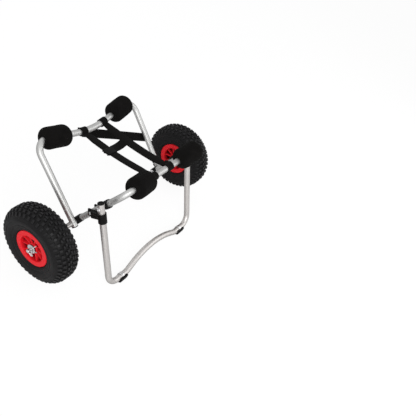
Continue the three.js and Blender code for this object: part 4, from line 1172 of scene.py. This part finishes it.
def fill_axle(name):
    pin = lathe([(0, head - PAST_SEAT), (PIN, head - PAST_SEAT), (PIN, tip - PIN_CHAMFER),
                 (PIN - PIN_CHAMFER, tip), (0, tip)], 40, 0)
    seated(f"axle_pin_{name}", [hexagon(head, 0.006, PIN_HEAD, 0.0008), pin], AT_AXLE, "rear_frame")
    # The sleeve takes the darker steel, painted shade for its place between wheel and leg.
    seated(f"axle_sleeve_{name}", [lathe(tube_profile(BORE, SLEEVE, sleeve_start, sleeve_end))],
           AT_AXLE, "rear_frame", SHADED_SPACER)
    washer = lathe(tube_profile(BORE, WASHER_RADIUS, washer_start, washer_start + WASHER), 64, 0.0005)
    seated(f"axle_washer_{name}", [washer], AT_AXLE, "rear_frame")
    for stem, face in (("bush_outer", 1), ("bush_inner", -1)):
        profile = [(radius, WHEEL_PLANE + face * x) for radius, x in bush]
        seated(f"{stem}_{name}", [lathe(profile)], AT_AXLE, f"{name}_wheel", MOULDED)


print("the axle's tip stands", round(tip, 4), "m out")

# %% Seat the turned pieces
for name, _ in SIDES:
    fasten_frames(name)
    fill_axle(name)
screw = lathe(bolt_profile(SCREW_TIP, TUBE + GAP + STRAP_THICK + GAP), BOLT_STEPS, 0)
seated("brace_screw", [screw], REAR @ shifted((REAR_HALF, 0, SCREW_REACH)) @ turned(pi / 2, "Z"),
       "rear_frame")

# %% Close the tubes with plugs
PLUG = [(0, 0), (TUBE, 0), (TUBE, 0.0025), (0.0062, 0.0025), (0.0055, 0.0015), (0, 0.0015)]
DOWN = turned(pi / 2, "Y")
for stem, plane, z, body in (("rear_leg_plug", REAR, REAR_FOOT, "rear_frame"),
                             ("kickstand_cap", KICK, KICK_TOP, "kickstand")):
    for name, side in SIDES:
        place = plane @ shifted((side * REAR_HALF, 0, z - GAP)) @ DOWN
        seated(f"{stem}_{name}", [lathe(PLUG, 48, 0.0007)],
               place @ turned(0 if side > 0 else pi, "Z"), body, MOULDED)

# %% [markdown]
# ## Bent wire and rubber
# Each spring clip is one length of wire: a long straight leg through the pin, an eye below it, and
# a bowed leg that grips the pin from the side and flares out at its tip. The tube tree sweeps it
# too, along a smooth curve through a few places, which are shares of the bow's size. The feet,
# their steel bands, the valves and the inner tubes are eased copies of their solids.

# %% Bend the spring clips
WIRE_RADIUS, STRAIGHT_LEG, BOW, CLIP_OUT = 0.0015, 0.046, 0.0081, 0.0055
CLIP_TILT, WIRE_STEPS = radians(22), 10
BOW_SHARES = [(0, -1), (-1.12, -1.47), (-2, -1.4), (-2.28, -0.8), (-1.2, -0.28), (-1.02, 0.3), (-0.95, 1),
              (-1.4, 2.1), (-2.1, 3.27)]


def smooth_line(places):
    """A centripetal curve through places, which doesn't loop where they lie close together."""
    ends = [2 * places[0] - places[1]] + places + [2 * places[-1] - places[-2]]
    points = []
    for a, b, c, d in zip(ends, ends[1:], ends[2:], ends[3:]):
        t1 = (b - a).length ** 0.5
        t2 = t1 + (c - b).length ** 0.5
        t3 = t2 + (d - c).length ** 0.5
        for k in range(WIRE_STEPS):
            t = t1 + (t2 - t1) * k / WIRE_STEPS
            middle = b.lerp(c, (t - t1) / (t2 - t1))
            left = a.lerp(b, t / t1).lerp(middle, t / t2)
            right = middle.lerp(c.lerp(d, (t - t2) / (t3 - t2)), (t - t1) / (t3 - t1))
            points.append(left.lerp(right, (t - t1) / (t2 - t1)))
    return points + [places[-1]]


wire = [(0, STRAIGHT_LEG), (0, STRAIGHT_LEG / 2), (0, 0)] + [(BOW * y, BOW * z) for y, z in BOW_SHARES]
route = smooth_line([Vector((0, y, z)) for y, z in wire])
for name, side in SIDES:
    clip = swept(f"spring_clip_{name}_dressed", route, WIRE_RADIUS, ZINC, 14)
    place = Vector((side * (washer_start + WASHER + CLIP_OUT), AXLE.y, AXLE.z))
    moved(clip, shifted(place) @ turned(CLIP_TILT, "X"))
    hand_over(clip, "rear_frame")

# %% Dress the rest
for stem, body, material, slot, width in (
        ("foot_clip", "kickstand", ZINC, "steel", 0.0002),
        ("kickstand_foot", "kickstand", RUBBER, "rubber", 0.0012),
        ("inner_tube", "wheel", RUBBER, "rubber", 0.0004), ("valve", "wheel", RUBBER, "rubber", 0.0004)):
    for name, _ in SIDES:
        eased_copy(f"{stem}_{name}", material, f"{name}_wheel" if body == "wheel" else body, width)
